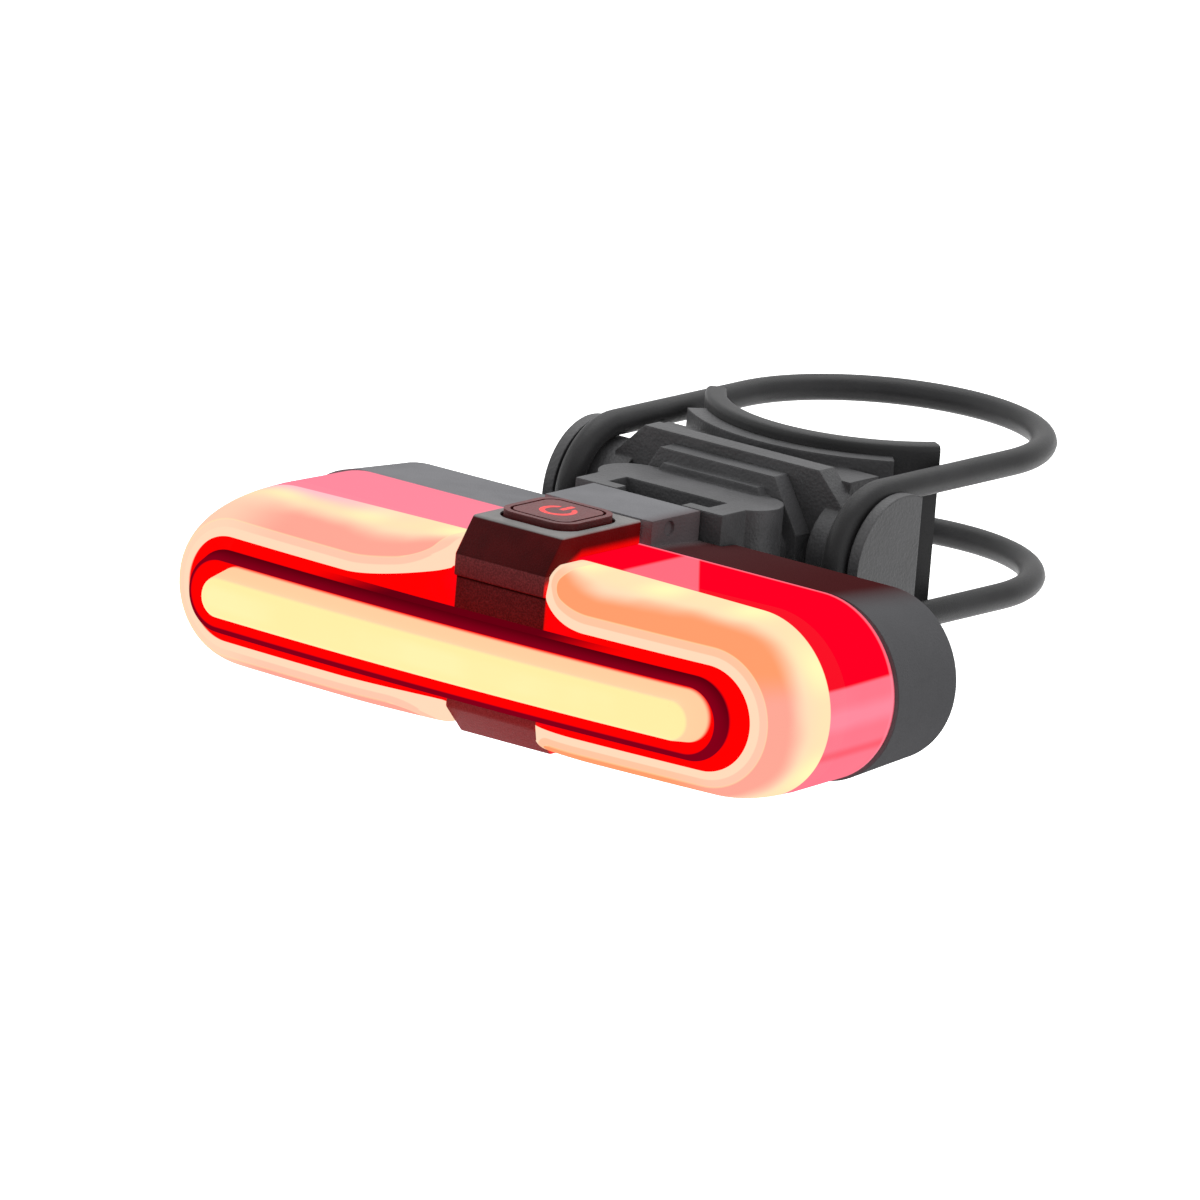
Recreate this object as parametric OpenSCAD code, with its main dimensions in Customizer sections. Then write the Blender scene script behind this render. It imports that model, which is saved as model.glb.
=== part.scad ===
// Rear light for a bicycle seatpost: a bowed light head on a slide-in
// bracket that a rubber ring holds against the post.
// Millimetres. +Z up along the post, the light shines towards -Y, +X is the
// viewer's right. Origin on the post axis at mid-height of the rubber pad.

/* [Seatpost] */
// Seatpost diameter
post_d = 27.2; // [25:0.1:32]
// Distance from the post axis to the seam between housing and lens
post_to_seam = 40.5; // [38:0.5:48]
// Height of the light's centre line below the pad's middle
head_drop = 6; // [0:0.5:9]

/* [Light head] */
// Half length of the straight part of the head
spine_half = 26; // [25.5:0.5:34]
// Radius of the rounded ends, half the head's height
head_r = 8.4; // [8.2:0.1:9.6]
// Radius of the bow of the front, seen from above
bow_r = 375; // [250:5:800]
// Depth of the back shell
housing_depth = 10.2; // [10:0.1:12]
// Radius of the back shell at its rear face
housing_rear_r = 7.8; // [7.4:0.1:8.1]
// Rounding of the rear edge
housing_round = 1.5; // [0.8:0.1:2]
// Wall of shell and lens
wall = 1.5; // [1.2:0.1:1.8]

/* [Lens] */
// Depth of the clear side wall in front of the seam
side_depth = 8.8; // [8.6:0.1:11]
// Outer radius of the lit ring where it leaves the side wall
ring_r = 8.15; // [7.8:0.05:8.2]
// Inner radius of the lit ring
ring_in_r = 4.75; // [4.6:0.05:5]
// Depth of the lit ring in front of the side wall
ring_depth = 10; // [9.6:0.1:11]
// Radius of the ring's crowned face
ring_crown = 15; // [12:0.5:30]
// How far the ring slopes back beside the bridge
ring_fall = 4.9; // [3:0.1:5.4]
// Length of that slope
ring_slope = 8.1; // [4:0.1:10]
// How much wider the ring's inside is at its foot
ring_flare = 2.4; // [1:0.1:2.4]

/* [Centre strip] */
// Radius of the strip at its foot
strip_r = 2.45; // [2.2:0.05:2.5]
// Radius of the strip's front face
strip_face_r = 1.75; // [1.5:0.05:2]
// Height of the strip above its seat
strip_rise = 5; // [4.6:0.1:5.4]
// Outer radius of the frame's lip
frame_r = 4.15; // [4.05:0.05:4.2]
// Inner radius of the frame
frame_in_r = 2.95; // [2.9:0.05:3]
// Height of the frame above its seat
frame_rise = 2.6; // [2.3:0.1:3]
// Depth of the seat plate in front of the side wall
seat_v = 8.5; // [8.4:0.1:8.6]
// Thickness of the seat plate
seat_t = 1.5; // [1.3:0.1:1.6]

/* [Bridge and button] */
// Half width of the strap across the waist
bridge_half = 5.1; // [5:0.1:5.6]
// Depth of the strap's face in front of the side wall
bridge_rise = 4.9; // [4.6:0.1:5]
// Height of the button deck above the head's centre line
deck_z = 10.6; // [10.5:0.1:11.5]
// Side of the button
button_w = 8; // [7:0.1:8.2]
// Corner radius of the button
button_round = 2; // [1:0.1:3]
// Height of the button above the deck
button_rise = 0.6; // [0.5:0.1:0.9]
// Button travel
button_travel = 0.5; // [0.3:0.05:0.5]
// Radius of the plunger under the button
plunger_r = 1.5; // [1.2:0.1:1.7]

/* [Slide and bracket] */
// Half width of the tongue's flange
tongue_half = 5.4; // [5:0.1:6]
// Half width of the tongue's stem
stem_half = 3.4; // [3:0.1:3.8]
// Thickness of the tongue's flange
tongue_t = 2.2; // [1.8:0.1:2.4]
// Half width of the channel
channel_half = 8.2; // [8:0.1:9]
// Half width of the bracket's web
web_half = 6.3; // [6:0.1:7]
// Half width of the stepped flange
flange_half = 9.4; // [9:0.1:10.5]
// Height of the top of the stepped flange above the pad's middle
flange_top = 6.4; // [6:0.1:7.5]
// How far the catch reaches below the channel
catch_reach = 6.6; // [5:0.1:8]

/* [Pad and rubber ring] */
// Thickness of the rubber pad
pad_t = 2; // [1.6:0.1:2.2]
// Half height of the pad
pad_half_h = 8.5; // [8:0.1:10]
// Half angle that the pad wraps round the post
pad_angle = 58; // [56:1:60]
// Thickness of the rubber ring
band_d = 2.4; // [2:0.1:2.6]
// Radius of the hooks on the ears
hook_r = 4.9; // [4.4:0.1:5.2]
// Distance from the post axis to the middle of the hooks
hook_y = 19; // [18.5:0.1:20]

/* [Hidden] */
$fn = 64;
// Small gap between pieces that slide or sit side by side
gap = 0.25;
// Radial play of pins and screws
play = 0.05;
// Overlap of cutting bodies
eps = 0.1;
// Size of the bodies that cut a half space
big = 200;
// Angle by which each bowed half runs past the middle before it is cut
sweep_lap = 1;

post_r = post_d / 2;
head_z = -head_drop;
bow_angle = spine_half / bow_r * 180 / PI;
in_r = head_r - wall;

// Crown of the lit ring: a circle through its outer and inner edge
ring_dr = ring_r - ring_in_r;
ring_chord = sqrt(ring_dr * ring_dr + ring_depth * ring_depth);
ring_back = sqrt(ring_crown * ring_crown - ring_chord * ring_chord / 4);
ring_cu = (ring_r + ring_in_r) / 2 - ring_back * ring_depth / ring_chord;
ring_cv = ring_depth / 2 - ring_back * ring_dr / ring_chord;

// Red seat around the strip
lip_over = 0.1;
rim_gap = 0.1;
rim_in_r = frame_r - lip_over;
rim_rise = 0.9;
skirt_t = 1;
skirt_v = 1.5;
strip_wall_rise = 1.7;
lip_rise = 1;
lip_step = 0.2;
frame_edge = 0.25;
strip_edge = 0.3;

// Bridge outline in depth and height
bridge_front = side_depth + bridge_rise;
bridge_step = 0.25;
bridge_back = 0.35;
deck_rise = 2.7;
deck_front = side_depth + deck_rise;
brow_z = 7.4;
step_z = 5.4;
chin_z = -6.6;
sole_z = -9.2;
sole_rise = 2;
sole_y = side_depth + sole_rise;
brow_y = bridge_front - bridge_step;
deck_chamfer = 0.6;
boss_inset = 0.6;

// Neck behind the deck
neck_step = 0.9;
neck_half = bridge_half + neck_step;
neck_pip_r = 0.7;
neck_pip_y = 2.6;

button_y = -5.9;
pocket_depth = 1.5;
button_play = 0.3;
pocket_w = button_w + 2 * button_play;
cap_gap = 0.15;
cap_t = button_rise + pocket_depth - button_travel - cap_gap;
groove_w = 0.55;
groove_depth = 0.4;
groove_out = button_w - 2 * groove_w;
groove_in = button_w - 3 * groove_w;
mark_r = 1.7;
mark_w = 0.5;
mark_t = 0.3;
mark_gap_half = 0.75;
mark_bar_top = 2.2;
mark_bar_low = 0.4;
seal_r = 2.6;
seal_t = 0.5;

// Inside of the head
board_back = 2.6;
board_t = 1.2;
board_gap = 0.6;
board_r = in_r - board_gap;
board_inset = 6.5;
board_half = spine_half - board_inset;
switch_half = 2.2;
switch_depth = 3.6;
switch_z = 2.6;
switch_h = 2;
stem_r = 0.9;
stem_h = 0.5;
plunger_gap = 0.1;
plunger_end = switch_z + switch_h + stem_h + button_travel + plunger_gap;
led_w = 2.6;
led_t = 0.8;
led_r = 5.2;
led_x = [9, 14, 19, 24];
cob_half_l = board_half + board_r - led_w;
cob_half_h = 1.2;
cob_t = 1;
die_pitch = 5;
die_w = 1.6;
die_t = 0.5;
die_n = 4;
cell_x = -5;
cell_half_l = 17;
cell_half_h = 5.4;
cell_back = 0.5;
cell_t = 3.7;
cell_round = 1.2;
foam_t = 0.8;
foam_half_l = 13;
foam_half_h = 4.2;
peg_inset = 1.2;
post_x = spine_half - peg_inset;
peg_r = 1.6;

// Charging socket and its cover
port_inset = 6;
port_x = spine_half - port_inset;
port_y = 4.6;
port_half_l = 4.47;
port_half_w = 1.63;
port_depth = 6.2;
port_wall = 0.3;
tongue_l = 6.7;
blade_t = 0.7;
blade_h = 4.6;
cover_inset = 0.2;
cover_len = 12.4;
cover_x1 = spine_half - cover_inset;
cover_x0 = cover_x1 - cover_len;
cover_half_w = 2.7;
cover_t = 1.2;
cover_round = 1;
cover_sink = 1.75;
cover_z = cover_sink - head_r;
hinge_r = cover_t / 2;
hinge_x = cover_x0 + hinge_r;
hinge_z = cover_z - hinge_r;
stub_r = 0.3;
stub_in = 0.4;
stub_half = cover_half_w + gap + stub_in;
plug_half_l = 3.7;
plug_half_w = 0.95;
plug_h = 0.9;
block_top = -5.3;
block_half_w = 4.2;

// Seam gasket
seal_in = 7.35;
seal_out = 7.95;
seal_depth = 0.7;

// Screws
boss_out = 4.2;
end_x = spine_half + boss_out;
screw_r = 1.1;
screw_head_r = 2;
screw_head_t = 1.4;
boss_r = 2.3;
boss_depth = 6.5;
boss_web = 0.8;
boss_floor = 1;
screw_clear = 0.5;
thread_gap = 0.1;
head_sink = 0.4;
drive_r = 0.75;
drive_depth = 0.7;

// Slide tongue, measured back from the seam
recess_y = 7;
recess_gap = 0.4;
recess_half = channel_half + recess_gap;
stem_t = 1.9;
tongue_z0 = -7.2;
tongue_z1 = 7.6;
notch_z0 = 0.3;
notch_z1 = 2.7;
notch_half = 2.8;
notch_depth = 0.8;
tongue_screw_z = 5;

// Bracket, measured back from the seam
lip_y = recess_y + gap;
flange_slot_y = recess_y + stem_t - gap;
slot_back_y = recess_y + stem_t + tongue_t + gap;
channel_back_t = 2;
channel_back_y = slot_back_y + channel_back_t;
channel_z0 = -9;
channel_floor = 1.6;
web_z0 = -12;
flange_back_y = 18.9;
flange_t = 2;
flange_lift = 2;
shoulder_ratio = 1.6;
rim_t = 0.9;
rim_inset = 1.1;
lobe_r = 3.2;
web_round = 1.4;

// Catch at the foot of the channel
tab_half = 2.6;
tab_t = 1.6;
tab_gap = 0.7;
tab_y = slot_back_y + tab_gap;
tab_z0 = channel_z0 - catch_reach;
tab_z1 = 2.2;
nose_h = 1.4;
nose_gap = 0.15;
pin_r = 0.8;
pin_z = -5;
pin_half = 5;
knuckle_r = 1.45;
tab_swing = 1.7;
tab_room = 1;
tab_pocket_y = tab_y + tab_t + tab_swing;
tab_pad_t = 1.4;
tab_pad_h = 2.8;
tab_pad_side = 1;
tab_rib_n = 3;
tab_rib_start = 0.7;
tab_rib_pitch = 1;

// Base on the post
base_front = post_to_seam - flange_back_y;
base_t = 2.2;
base_half = 12.8;
base_z0 = -8;
base_z1 = 7.4;
base_cut = 3;
saddle_t = 1.8;
saddle_angle = 42;
band_r = band_d / 2;
band_x = post_r + band_r + gap;
hook_clear = 0.08;
strand_z = hook_r + band_r + hook_clear;
hook_side = 0.35;
hook_half_w = band_r + hook_side;
lip_t = 1.1;
lip_extra = 1.5;
base_screw_x = 4.2;
base_seat_y = base_t - base_front - head_sink;
base_screw_bite = 3;
base_screw_hole = 5;
base_edge = 1;
core_step = 1.2;
ear_root = 2;
side_lap = 2;

// Places its children in the light head, from the seam plane
module in_head() {
    translate([0, -post_to_seam, head_z])
        children();
}

// Outline with round ends along X
module pill(half_len, r) {
    square([2 * half_len, 2 * r], center = true);
    for (s = [-1, 1])
        translate([s * half_len, 0])
            circle(r);
}

// Rectangle with rounded corners
module soft_rect(w, h, r) {
    square([w - 2 * r, h], center = true);
    square([w, h - 2 * r], center = true);
    for (i = [-1, 1], j = [-1, 1])
        translate([i * (w / 2 - r), j * (h / 2 - r)])
            circle(r);
}

// Sweeps a profile (distance from the spine, depth to the front) round a
// straight spine
module flat_sweep(half_len) {
    for (m = [0, 1])
        mirror([m, 0, 0])
            translate([half_len, 0, 0])
                rotate([90, 0, 0])
                    rotate([0, 0, -90])
                        rotate_extrude(angle = 180)
                            children();
    for (m = [0, 1])
        mirror([0, 0, m])
            translate([-half_len, 0, 0])
                rotate([180, -90, 0])
                    linear_extrude(2 * half_len)
                        children();
}

// Right half of the same sweep round a bowed spine; depth counts from the
// front of the side wall
module bow_half() {
    intersection() {
        translate([0, bow_r - side_depth, 0])
            rotate([0, 0, bow_angle - 90]) {
                translate([bow_r, 0, 0])
                    rotate([0, 90, 0])
                        rotate_extrude(angle = 180)
                            children();
                mirror([0, 1, 0])
                    rotate_extrude(angle = bow_angle + sweep_lap, $fn = 256)
                        for (m = [0, 1])
                            mirror([0, m])
                                translate([bow_r, 0])
                                    mirror([1, -1])
                                        children();
            }
        box([0, -big, -big], [big, big, big]);
    }
}

// Both halves of the bowed sweep
module bow_sweep() {
    for (m = [0, 1])
        mirror([m, 0, 0])
            bow_half()
                children();
}

// Plate in the XZ plane, from depth y0 to y1
module plate(y0, y1) {
    translate([0, y1, 0])
        rotate([90, 0, 0])
            linear_extrude(y1 - y0)
                children();
}

// Box between two corners
module box(a, b) {
    translate(a)
        cube(b - a);
}

// Cylinder along Y
module rod_y(x, z, r, y0, y1) {
    translate([x, y1, z])
        rotate([90, 0, 0])
            cylinder(h = y1 - y0, r = r);
}

// Cylinder along X
module rod_x(y, z, r, x0, x1) {
    translate([x0, y, z])
        rotate([0, 90, 0])
            cylinder(h = x1 - x0, r = r);
}

// Half section of the back shell
module shell_profile(r0, r1, depth, round_r) {
    polygon([[0, 0], [r0, 0], [r1, -depth + round_r], [r1 - round_r, -depth + round_r],
             [r1 - round_r, -depth], [0, -depth]]);
    translate([r1 - round_r, -depth + round_r])
        circle(round_r);
}

module rear_housing() {
    color([0.22, 0.22, 0.23])
    in_head()
    difference() {
        union() {
            difference() {
                flat_sweep(spine_half)
                    shell_profile(head_r, housing_rear_r, housing_depth, housing_round);
                difference() {
                    flat_sweep(spine_half)
                        polygon([[0, eps], [in_r, eps], [housing_rear_r - wall, wall - housing_depth],
                                 [0, wall - housing_depth]]);
                    box([-recess_half - wall, recess_y - wall, -big], [recess_half + wall, big, big]);
                    box([cover_x0 - wall, -eps, -big], [cover_x1 + wall, port_y + block_half_w, block_top]);
                    for (s = [-1, 1]) {
                        rod_y(s * end_x, 0, boss_r, play, big);
                        rod_y(s * post_x, 0, peg_r, -eps, big);
                    }
                }
            }
            box([-neck_half, 0, in_r], [neck_half, recess_y, deck_z]);
            for (s = [-1, 1])
                rod_y(s * post_x, 0, peg_r, -board_back, wall);
        }
        box([-recess_half, recess_y, -big], [recess_half, big, big]);
        flat_sweep(spine_half)
            polygon([[seal_in, eps], [seal_out, eps], [seal_out, -seal_depth], [seal_in, -seal_depth]]);
        for (s = [-1, 1]) {
            rod_y(s * end_x, 0, screw_r + play, -eps, housing_depth + eps);
            rod_y(s * end_x, 0, screw_head_r + play, housing_depth - screw_head_t, housing_depth + eps);
            rod_y(0, s * tongue_screw_z, screw_r + play, recess_y - wall - eps, recess_y + eps);
        }
        for (m = [0, 1])
            mirror([m, 0, 0])
                rod_x(neck_pip_y, deck_z - neck_pip_r - mark_t, neck_pip_r,
                      neck_half - mark_t, neck_half + eps);
        translate([port_x, port_y, -big])
            linear_extrude(big + cover_z + port_depth + play)
                pill(port_half_l - port_half_w, port_half_w + play);
        box([cover_x0 - gap, port_y - cover_half_w - gap, -big],
            [cover_x1 + gap, port_y + cover_half_w + gap, cover_z]);
        rod_y(hinge_x, hinge_z, stub_r + play, port_y - stub_half - play, port_y + stub_half + play);
    }
}

module side_lens() {
    color([0.85, 0.05, 0.12, 0.7])
    in_head()
    difference() {
        union() {
            bow_sweep()
                polygon([[in_r, 0], [head_r, 0], [head_r, -side_depth - side_lap],
                         [in_r, -side_depth - side_lap]]);
            for (s = [-1, 1]) {
                rod_y(s * end_x, 0, boss_r, -boss_depth, wall);
                translate([s * (end_x + boss_r), 0, 0])
                    box([-boss_web, -boss_depth, -wall / 2], [boss_web, wall, wall / 2]);
            }
        }
        box([-big, 0, -big], [big, big, big]);
        for (s = [-1, 1])
            rod_y(s * end_x, 0, screw_r + play, boss_floor - boss_depth, eps);
        translate([0, button_y, 0])
            cylinder(h = big, r = seal_r + play);
    }
}

// One half of the lit ring, cut back towards the bridge
module ring_half() {
    difference() {
        bow_half()
            intersection() {
                translate([ring_cu, ring_cv])
                    circle(ring_crown, $fn = 128);
                polygon([[ring_in_r + ring_flare, 0], [ring_r, 0], [ring_r, ring_depth],
                         [ring_in_r, ring_depth]]);
            }
        box([-big, -big, -big], [bridge_half + gap, big, big]);
        translate([bridge_half + gap, ring_fall - side_depth - ring_depth, 0])
            rotate([0, 0, -atan(ring_fall / ring_slope)])
                box([-ring_slope, -big, -big], [big, 0, big]);
    }
}

module ring_lens_right() {
    color([1, 0.62, 0.5])
    in_head()
        ring_half();
}

module ring_lens_left() {
    color([1, 0.62, 0.5])
    in_head()
        mirror([1, 0, 0])
            ring_half();
}

// Radius of the seat's skirt, just inside the ring
function skirt_r(v) = ring_in_r - rim_gap + ring_flare * (ring_depth - v) / ring_depth;

module red_seat() {
    color([1, 0.03, 0.03])
    in_head()
    difference() {
        bow_sweep() {
            polygon([[0, seat_v - seat_t], [skirt_r(seat_v - seat_t) - skirt_t, seat_v - seat_t],
                     [skirt_r(skirt_v) - skirt_t, skirt_v], [skirt_r(skirt_v), skirt_v],
                     [skirt_r(seat_v + rim_rise), seat_v + rim_rise], [rim_in_r, seat_v + rim_rise],
                     [rim_in_r, seat_v], [frame_in_r - play, seat_v],
                     [frame_in_r - play, seat_v + strip_wall_rise],
                     [strip_r + play, seat_v + strip_wall_rise],
                     [strip_r + play, seat_v], [0, seat_v]]);
        }
        for (m = [0, 1])
            mirror([0, 0, m])
                box([-bridge_half - gap, -big, rim_in_r - gap], [bridge_half + gap, 0, big]);
    }
}

module front_frame() {
    color([0.16, 0.02, 0.04])
    in_head()
    difference() {
        bow_sweep()
            polygon([[0, seat_v], [rim_in_r - play, seat_v], [rim_in_r - play, seat_v + lip_rise],
                     [frame_r, seat_v + lip_rise + lip_step], [frame_in_r + frame_edge, seat_v + frame_rise],
                     [0, seat_v + frame_rise]]);
        bow_sweep()
            polygon([[0, seat_v - eps], [frame_in_r, seat_v - eps], [frame_in_r, seat_v + frame_rise + eps],
                     [0, seat_v + frame_rise + eps]]);
    }
}

module strip_lens() {
    color([1, 0.9, 0.62])
    in_head()
    bow_sweep() {
        polygon([[0, seat_v], [strip_r, seat_v], [strip_r, seat_v + strip_wall_rise],
                 [strip_face_r + strip_edge, seat_v + strip_rise - strip_edge],
                 [strip_face_r, seat_v + strip_rise],
                 [0, seat_v + strip_rise]]);
    }
}

module centre_bridge() {
    color([0.2, 0.03, 0.05])
    in_head()
    difference() {
        union() {
            translate([-bridge_half, 0, 0])
                rotate([90, 0, 90])
                    linear_extrude(2 * bridge_half)
                        polygon([[-bridge_back, head_r], [-bridge_back, deck_z], [-deck_front, deck_z],
                                 [-brow_y, brow_z], [-brow_y, step_z], [-bridge_front, step_z],
                                 [-bridge_front, chin_z], [-sole_y, sole_z], [-bridge_back, sole_z],
                                 [-bridge_back, -head_r], [-side_depth - eps, -head_r],
                                 [-side_depth - eps, head_r]]);
            box([-bridge_half, seat_t - side_depth - seat_v + play, boss_inset - frame_r],
                [bridge_half, -bridge_front + eps, frame_r - boss_inset]);
        }
        for (s = [-1, 1])
            translate([s * bridge_half, 0, deck_z])
                rotate([0, 45, 0])
                    cube([deck_chamfer * sqrt(2), big, deck_chamfer * sqrt(2)], center = true);
        translate([0, button_y, deck_z - pocket_depth])
            linear_extrude(pocket_depth + eps)
                soft_rect(pocket_w, pocket_w, button_round + button_play);
        translate([0, button_y, 0])
            cylinder(h = deck_z, r = seal_r + play);
    }
}

module power_button() {
    color([0.16, 0.03, 0.05])
    in_head()
    translate([0, button_y, 0])
    difference() {
        union() {
            translate([0, 0, deck_z + button_rise - cap_t])
                linear_extrude(cap_t)
                    soft_rect(button_w, button_w, button_round);
            translate([0, 0, plunger_end])
                cylinder(h = deck_z - plunger_end, r = plunger_r);
        }
        translate([0, 0, deck_z + button_rise - groove_depth])
            linear_extrude(groove_depth + eps)
                difference() {
                    soft_rect(groove_out, groove_out, button_round - groove_w);
                    soft_rect(groove_in, groove_in, button_round - 1.5 * groove_w);
                }
        translate([0, 0, deck_z + button_rise - mark_t])
            linear_extrude(mark_t + eps)
                mark_shape();
    }
}

// Plain power mark: an open ring and a bar
module mark_shape() {
    difference() {
        circle(mark_r);
        circle(mark_r - mark_w);
        translate([-mark_gap_half, 0])
            square([2 * mark_gap_half, 2 * mark_r]);
    }
    translate([-mark_w / 2, mark_bar_low])
        square([mark_w, mark_bar_top - mark_bar_low]);
}

module button_mark() {
    color([1, 0.12, 0.1])
    in_head()
    translate([0, button_y, deck_z + button_rise - mark_t])
        linear_extrude(mark_t)
            mark_shape();
}

module button_seal() {
    color([0.1, 0.1, 0.1])
    in_head()
    translate([0, button_y, deck_z - pocket_depth - seal_t])
        difference() {
            cylinder(h = seal_t, r = seal_r);
            translate([0, 0, -eps])
                cylinder(h = seal_t + 2 * eps, r = plunger_r + play);
        }
}

module circuit_board() {
    color([0.05, 0.25, 0.12])
    in_head()
    plate(-board_back - board_t, -board_back)
        pill(board_half, board_r);
}

module ring_leds() {
    color([0.95, 0.9, 0.7])
    in_head()
    for (x = led_x, i = [-1, 1], j = [-1, 1])
        if (x < board_half + board_r - led_r)
            translate([i * x, -board_back - board_t, j * (x < board_half ? led_r : 0)])
                box([-led_w / 2, -led_t, -led_w / 2], [led_w / 2, 0, led_w / 2]);
}

module strip_leds() {
    color([1, 0.85, 0.3])
    in_head()
    translate([0, -board_back - board_t, 0]) {
        for (s = [-1, 1])
            box([s > 0 ? switch_half + die_w : -cob_half_l, -cob_t, -cob_half_h],
                [s > 0 ? cob_half_l : -switch_half - die_w, 0, cob_half_h]);
        for (s = [-1, 1], k = [1 : die_n])
            translate([s * k * die_pitch, -cob_t, 0])
                box([-die_w / 2, -die_t, -die_w / 2], [die_w / 2, 0, die_w / 2]);
    }
}

module tact_switch() {
    color([0.75, 0.75, 0.77])
    in_head()
    translate([0, -board_back - board_t, switch_z]) {
        box([-switch_half, -switch_depth, 0], [switch_half, 0, switch_h]);
        translate([0, button_y + board_back + board_t, switch_h])
            cylinder(h = stem_h, r = stem_r);
    }
}

module battery_cell() {
    color([0.75, 0.76, 0.8])
    in_head()
    translate([cell_x, 0, 0])
        plate(cell_back, cell_back + cell_t)
            soft_rect(2 * cell_half_l, 2 * cell_half_h, cell_round);
}

module battery_pad() {
    color([0.1, 0.1, 0.11])
    in_head()
    translate([cell_x, 0, 0])
        plate(cell_back + cell_t, cell_back + cell_t + foam_t)
            soft_rect(2 * foam_half_l, 2 * foam_half_h, cell_round);
}

module usb_port() {
    color([0.7, 0.71, 0.73])
    in_head()
    translate([port_x, port_y, cover_z]) {
        difference() {
            linear_extrude(port_depth)
                pill(port_half_l - port_half_w, port_half_w);
            translate([0, 0, -eps])
                linear_extrude(port_depth - port_wall + eps)
                    pill(port_half_l - port_half_w, port_half_w - port_wall);
        }
        translate([-tongue_l / 2, -blade_t / 2, port_depth - blade_h])
            cube([tongue_l, blade_t, blade_h - port_wall / 2]);
    }
}

module port_cover() {
    color([0.12, 0.12, 0.13])
    in_head() {
        intersection() {
            plate(port_y - cover_half_w, port_y + cover_half_w)
                translate([hinge_x, hinge_z]) {
                    circle(hinge_r);
                    translate([0, -hinge_r])
                        square([cover_x1 - hinge_x, cover_t]);
                }
            translate([cover_x1 - cover_len, port_y, cover_z - big / 2])
                linear_extrude(big)
                    soft_rect(2 * cover_len, 2 * cover_half_w, cover_round);
        }
        rod_y(hinge_x, hinge_z, stub_r, port_y - stub_half, port_y + stub_half);
        translate([port_x, port_y, cover_z - eps])
            linear_extrude(plug_h + eps)
                pill(plug_half_l - plug_half_w, plug_half_w);
        translate([cover_x1 - cover_round, port_y, cover_z - cover_t - mark_t])
            linear_extrude(mark_t + eps)
                soft_rect(cover_round, 2 * plug_half_w, mark_t);
    }
}

module housing_seal() {
    color([0.9, 0.25, 0.4])
    in_head()
    flat_sweep(spine_half)
        polygon([[seal_in, 0], [seal_out, 0], [seal_out, -seal_depth], [seal_in, -seal_depth]]);
}

// Screw along Y with its head towards the back
module screw(x, z, head_y, length) {
    difference() {
        union() {
            rod_y(x, z, screw_r, head_y - length, head_y - screw_head_t + eps);
            rod_y(x, z, screw_head_r, head_y - screw_head_t, head_y);
        }
        translate([x, head_y + eps, z])
            rotate([90, 0, 0])
                cylinder(h = drive_depth + eps, r = drive_r, $fn = 6);
    }
}

module housing_screws() {
    color([0.3, 0.3, 0.32])
    in_head()
    for (s = [-1, 1])
        screw(s * end_x, 0, housing_depth, housing_depth + boss_depth - boss_floor - screw_clear);
}

module slide_tongue() {
    color([0.2, 0.2, 0.21])
    in_head()
    difference() {
        union() {
            box([-stem_half, recess_y, tongue_z0], [stem_half, recess_y + stem_t + eps, tongue_z1]);
            box([-tongue_half, recess_y + stem_t, tongue_z0],
                [tongue_half, recess_y + stem_t + tongue_t, tongue_z1]);
        }
        box([-notch_half, recess_y + stem_t + tongue_t - notch_depth, notch_z0],
            [notch_half, big, notch_z1]);
        for (s = [-1, 1]) {
            rod_y(0, s * tongue_screw_z, screw_r + play, recess_y - eps, big / 2);
            rod_y(0, s * tongue_screw_z, screw_head_r + play,
                  recess_y + stem_t + tongue_t - screw_head_t - mark_t, big / 2);
        }
    }
}

module tongue_screws() {
    color([0.3, 0.3, 0.32])
    in_head()
    for (s = [-1, 1])
        screw(0, s * tongue_screw_z, recess_y + stem_t + tongue_t - mark_t,
              stem_t + tongue_t - mark_t + wall - thread_gap);
}

// Outline of the stepped flange, narrower at the top
module flange_shape(inset) {
    w = flange_half - inset;
    top = flange_top + head_drop - inset;
    low = web_z0 + flange_lift + inset;
    polygon([[-w + base_cut, top], [w - base_cut, top], [w, top - shoulder_ratio * base_cut],
             [w, low + base_cut],
             [w - base_cut, low], [-w + base_cut, low], [-w, low + base_cut],
             [-w, top - shoulder_ratio * base_cut]]);
}

module bracket_body() {
    color([0.2, 0.2, 0.21])
    in_head()
    difference() {
        union() {
            box([-channel_half, lip_y, channel_z0], [channel_half, channel_back_y, deck_z]);
            translate([0, 0, web_z0])
                linear_extrude(deck_z - web_z0) {
                    translate([-web_half, channel_back_y - eps])
                        square([2 * web_half, flange_back_y - channel_back_y]);
                    for (s = [-1, 1])
                        translate([s * (channel_half - lobe_r + web_round), channel_back_y])
                            circle(lobe_r);
                }
            plate(flange_back_y - flange_t, flange_back_y)
                flange_shape(0);
            plate(flange_back_y - flange_t - rim_t, flange_back_y - flange_t + eps)
                flange_shape(rim_inset);
        }
        box([-stem_half - gap, -big, channel_z0 + channel_floor],
            [stem_half + gap, flange_slot_y + eps, big]);
        box([-tongue_half - gap, flange_slot_y, channel_z0 + channel_floor],
            [tongue_half + gap, slot_back_y, big]);
        box([-tab_half - gap, slot_back_y - eps, -big], [tab_half + gap, tab_pocket_y, tab_z1 + tab_room]);
        rod_x(tab_y + tab_t / 2, pin_z, pin_r + play, -pin_half, pin_half);
        for (s = [-1, 1])
            rod_y(s * base_screw_x, head_drop, screw_r + play,
                  flange_back_y - base_screw_hole, flange_back_y + eps);
    }
}

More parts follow.
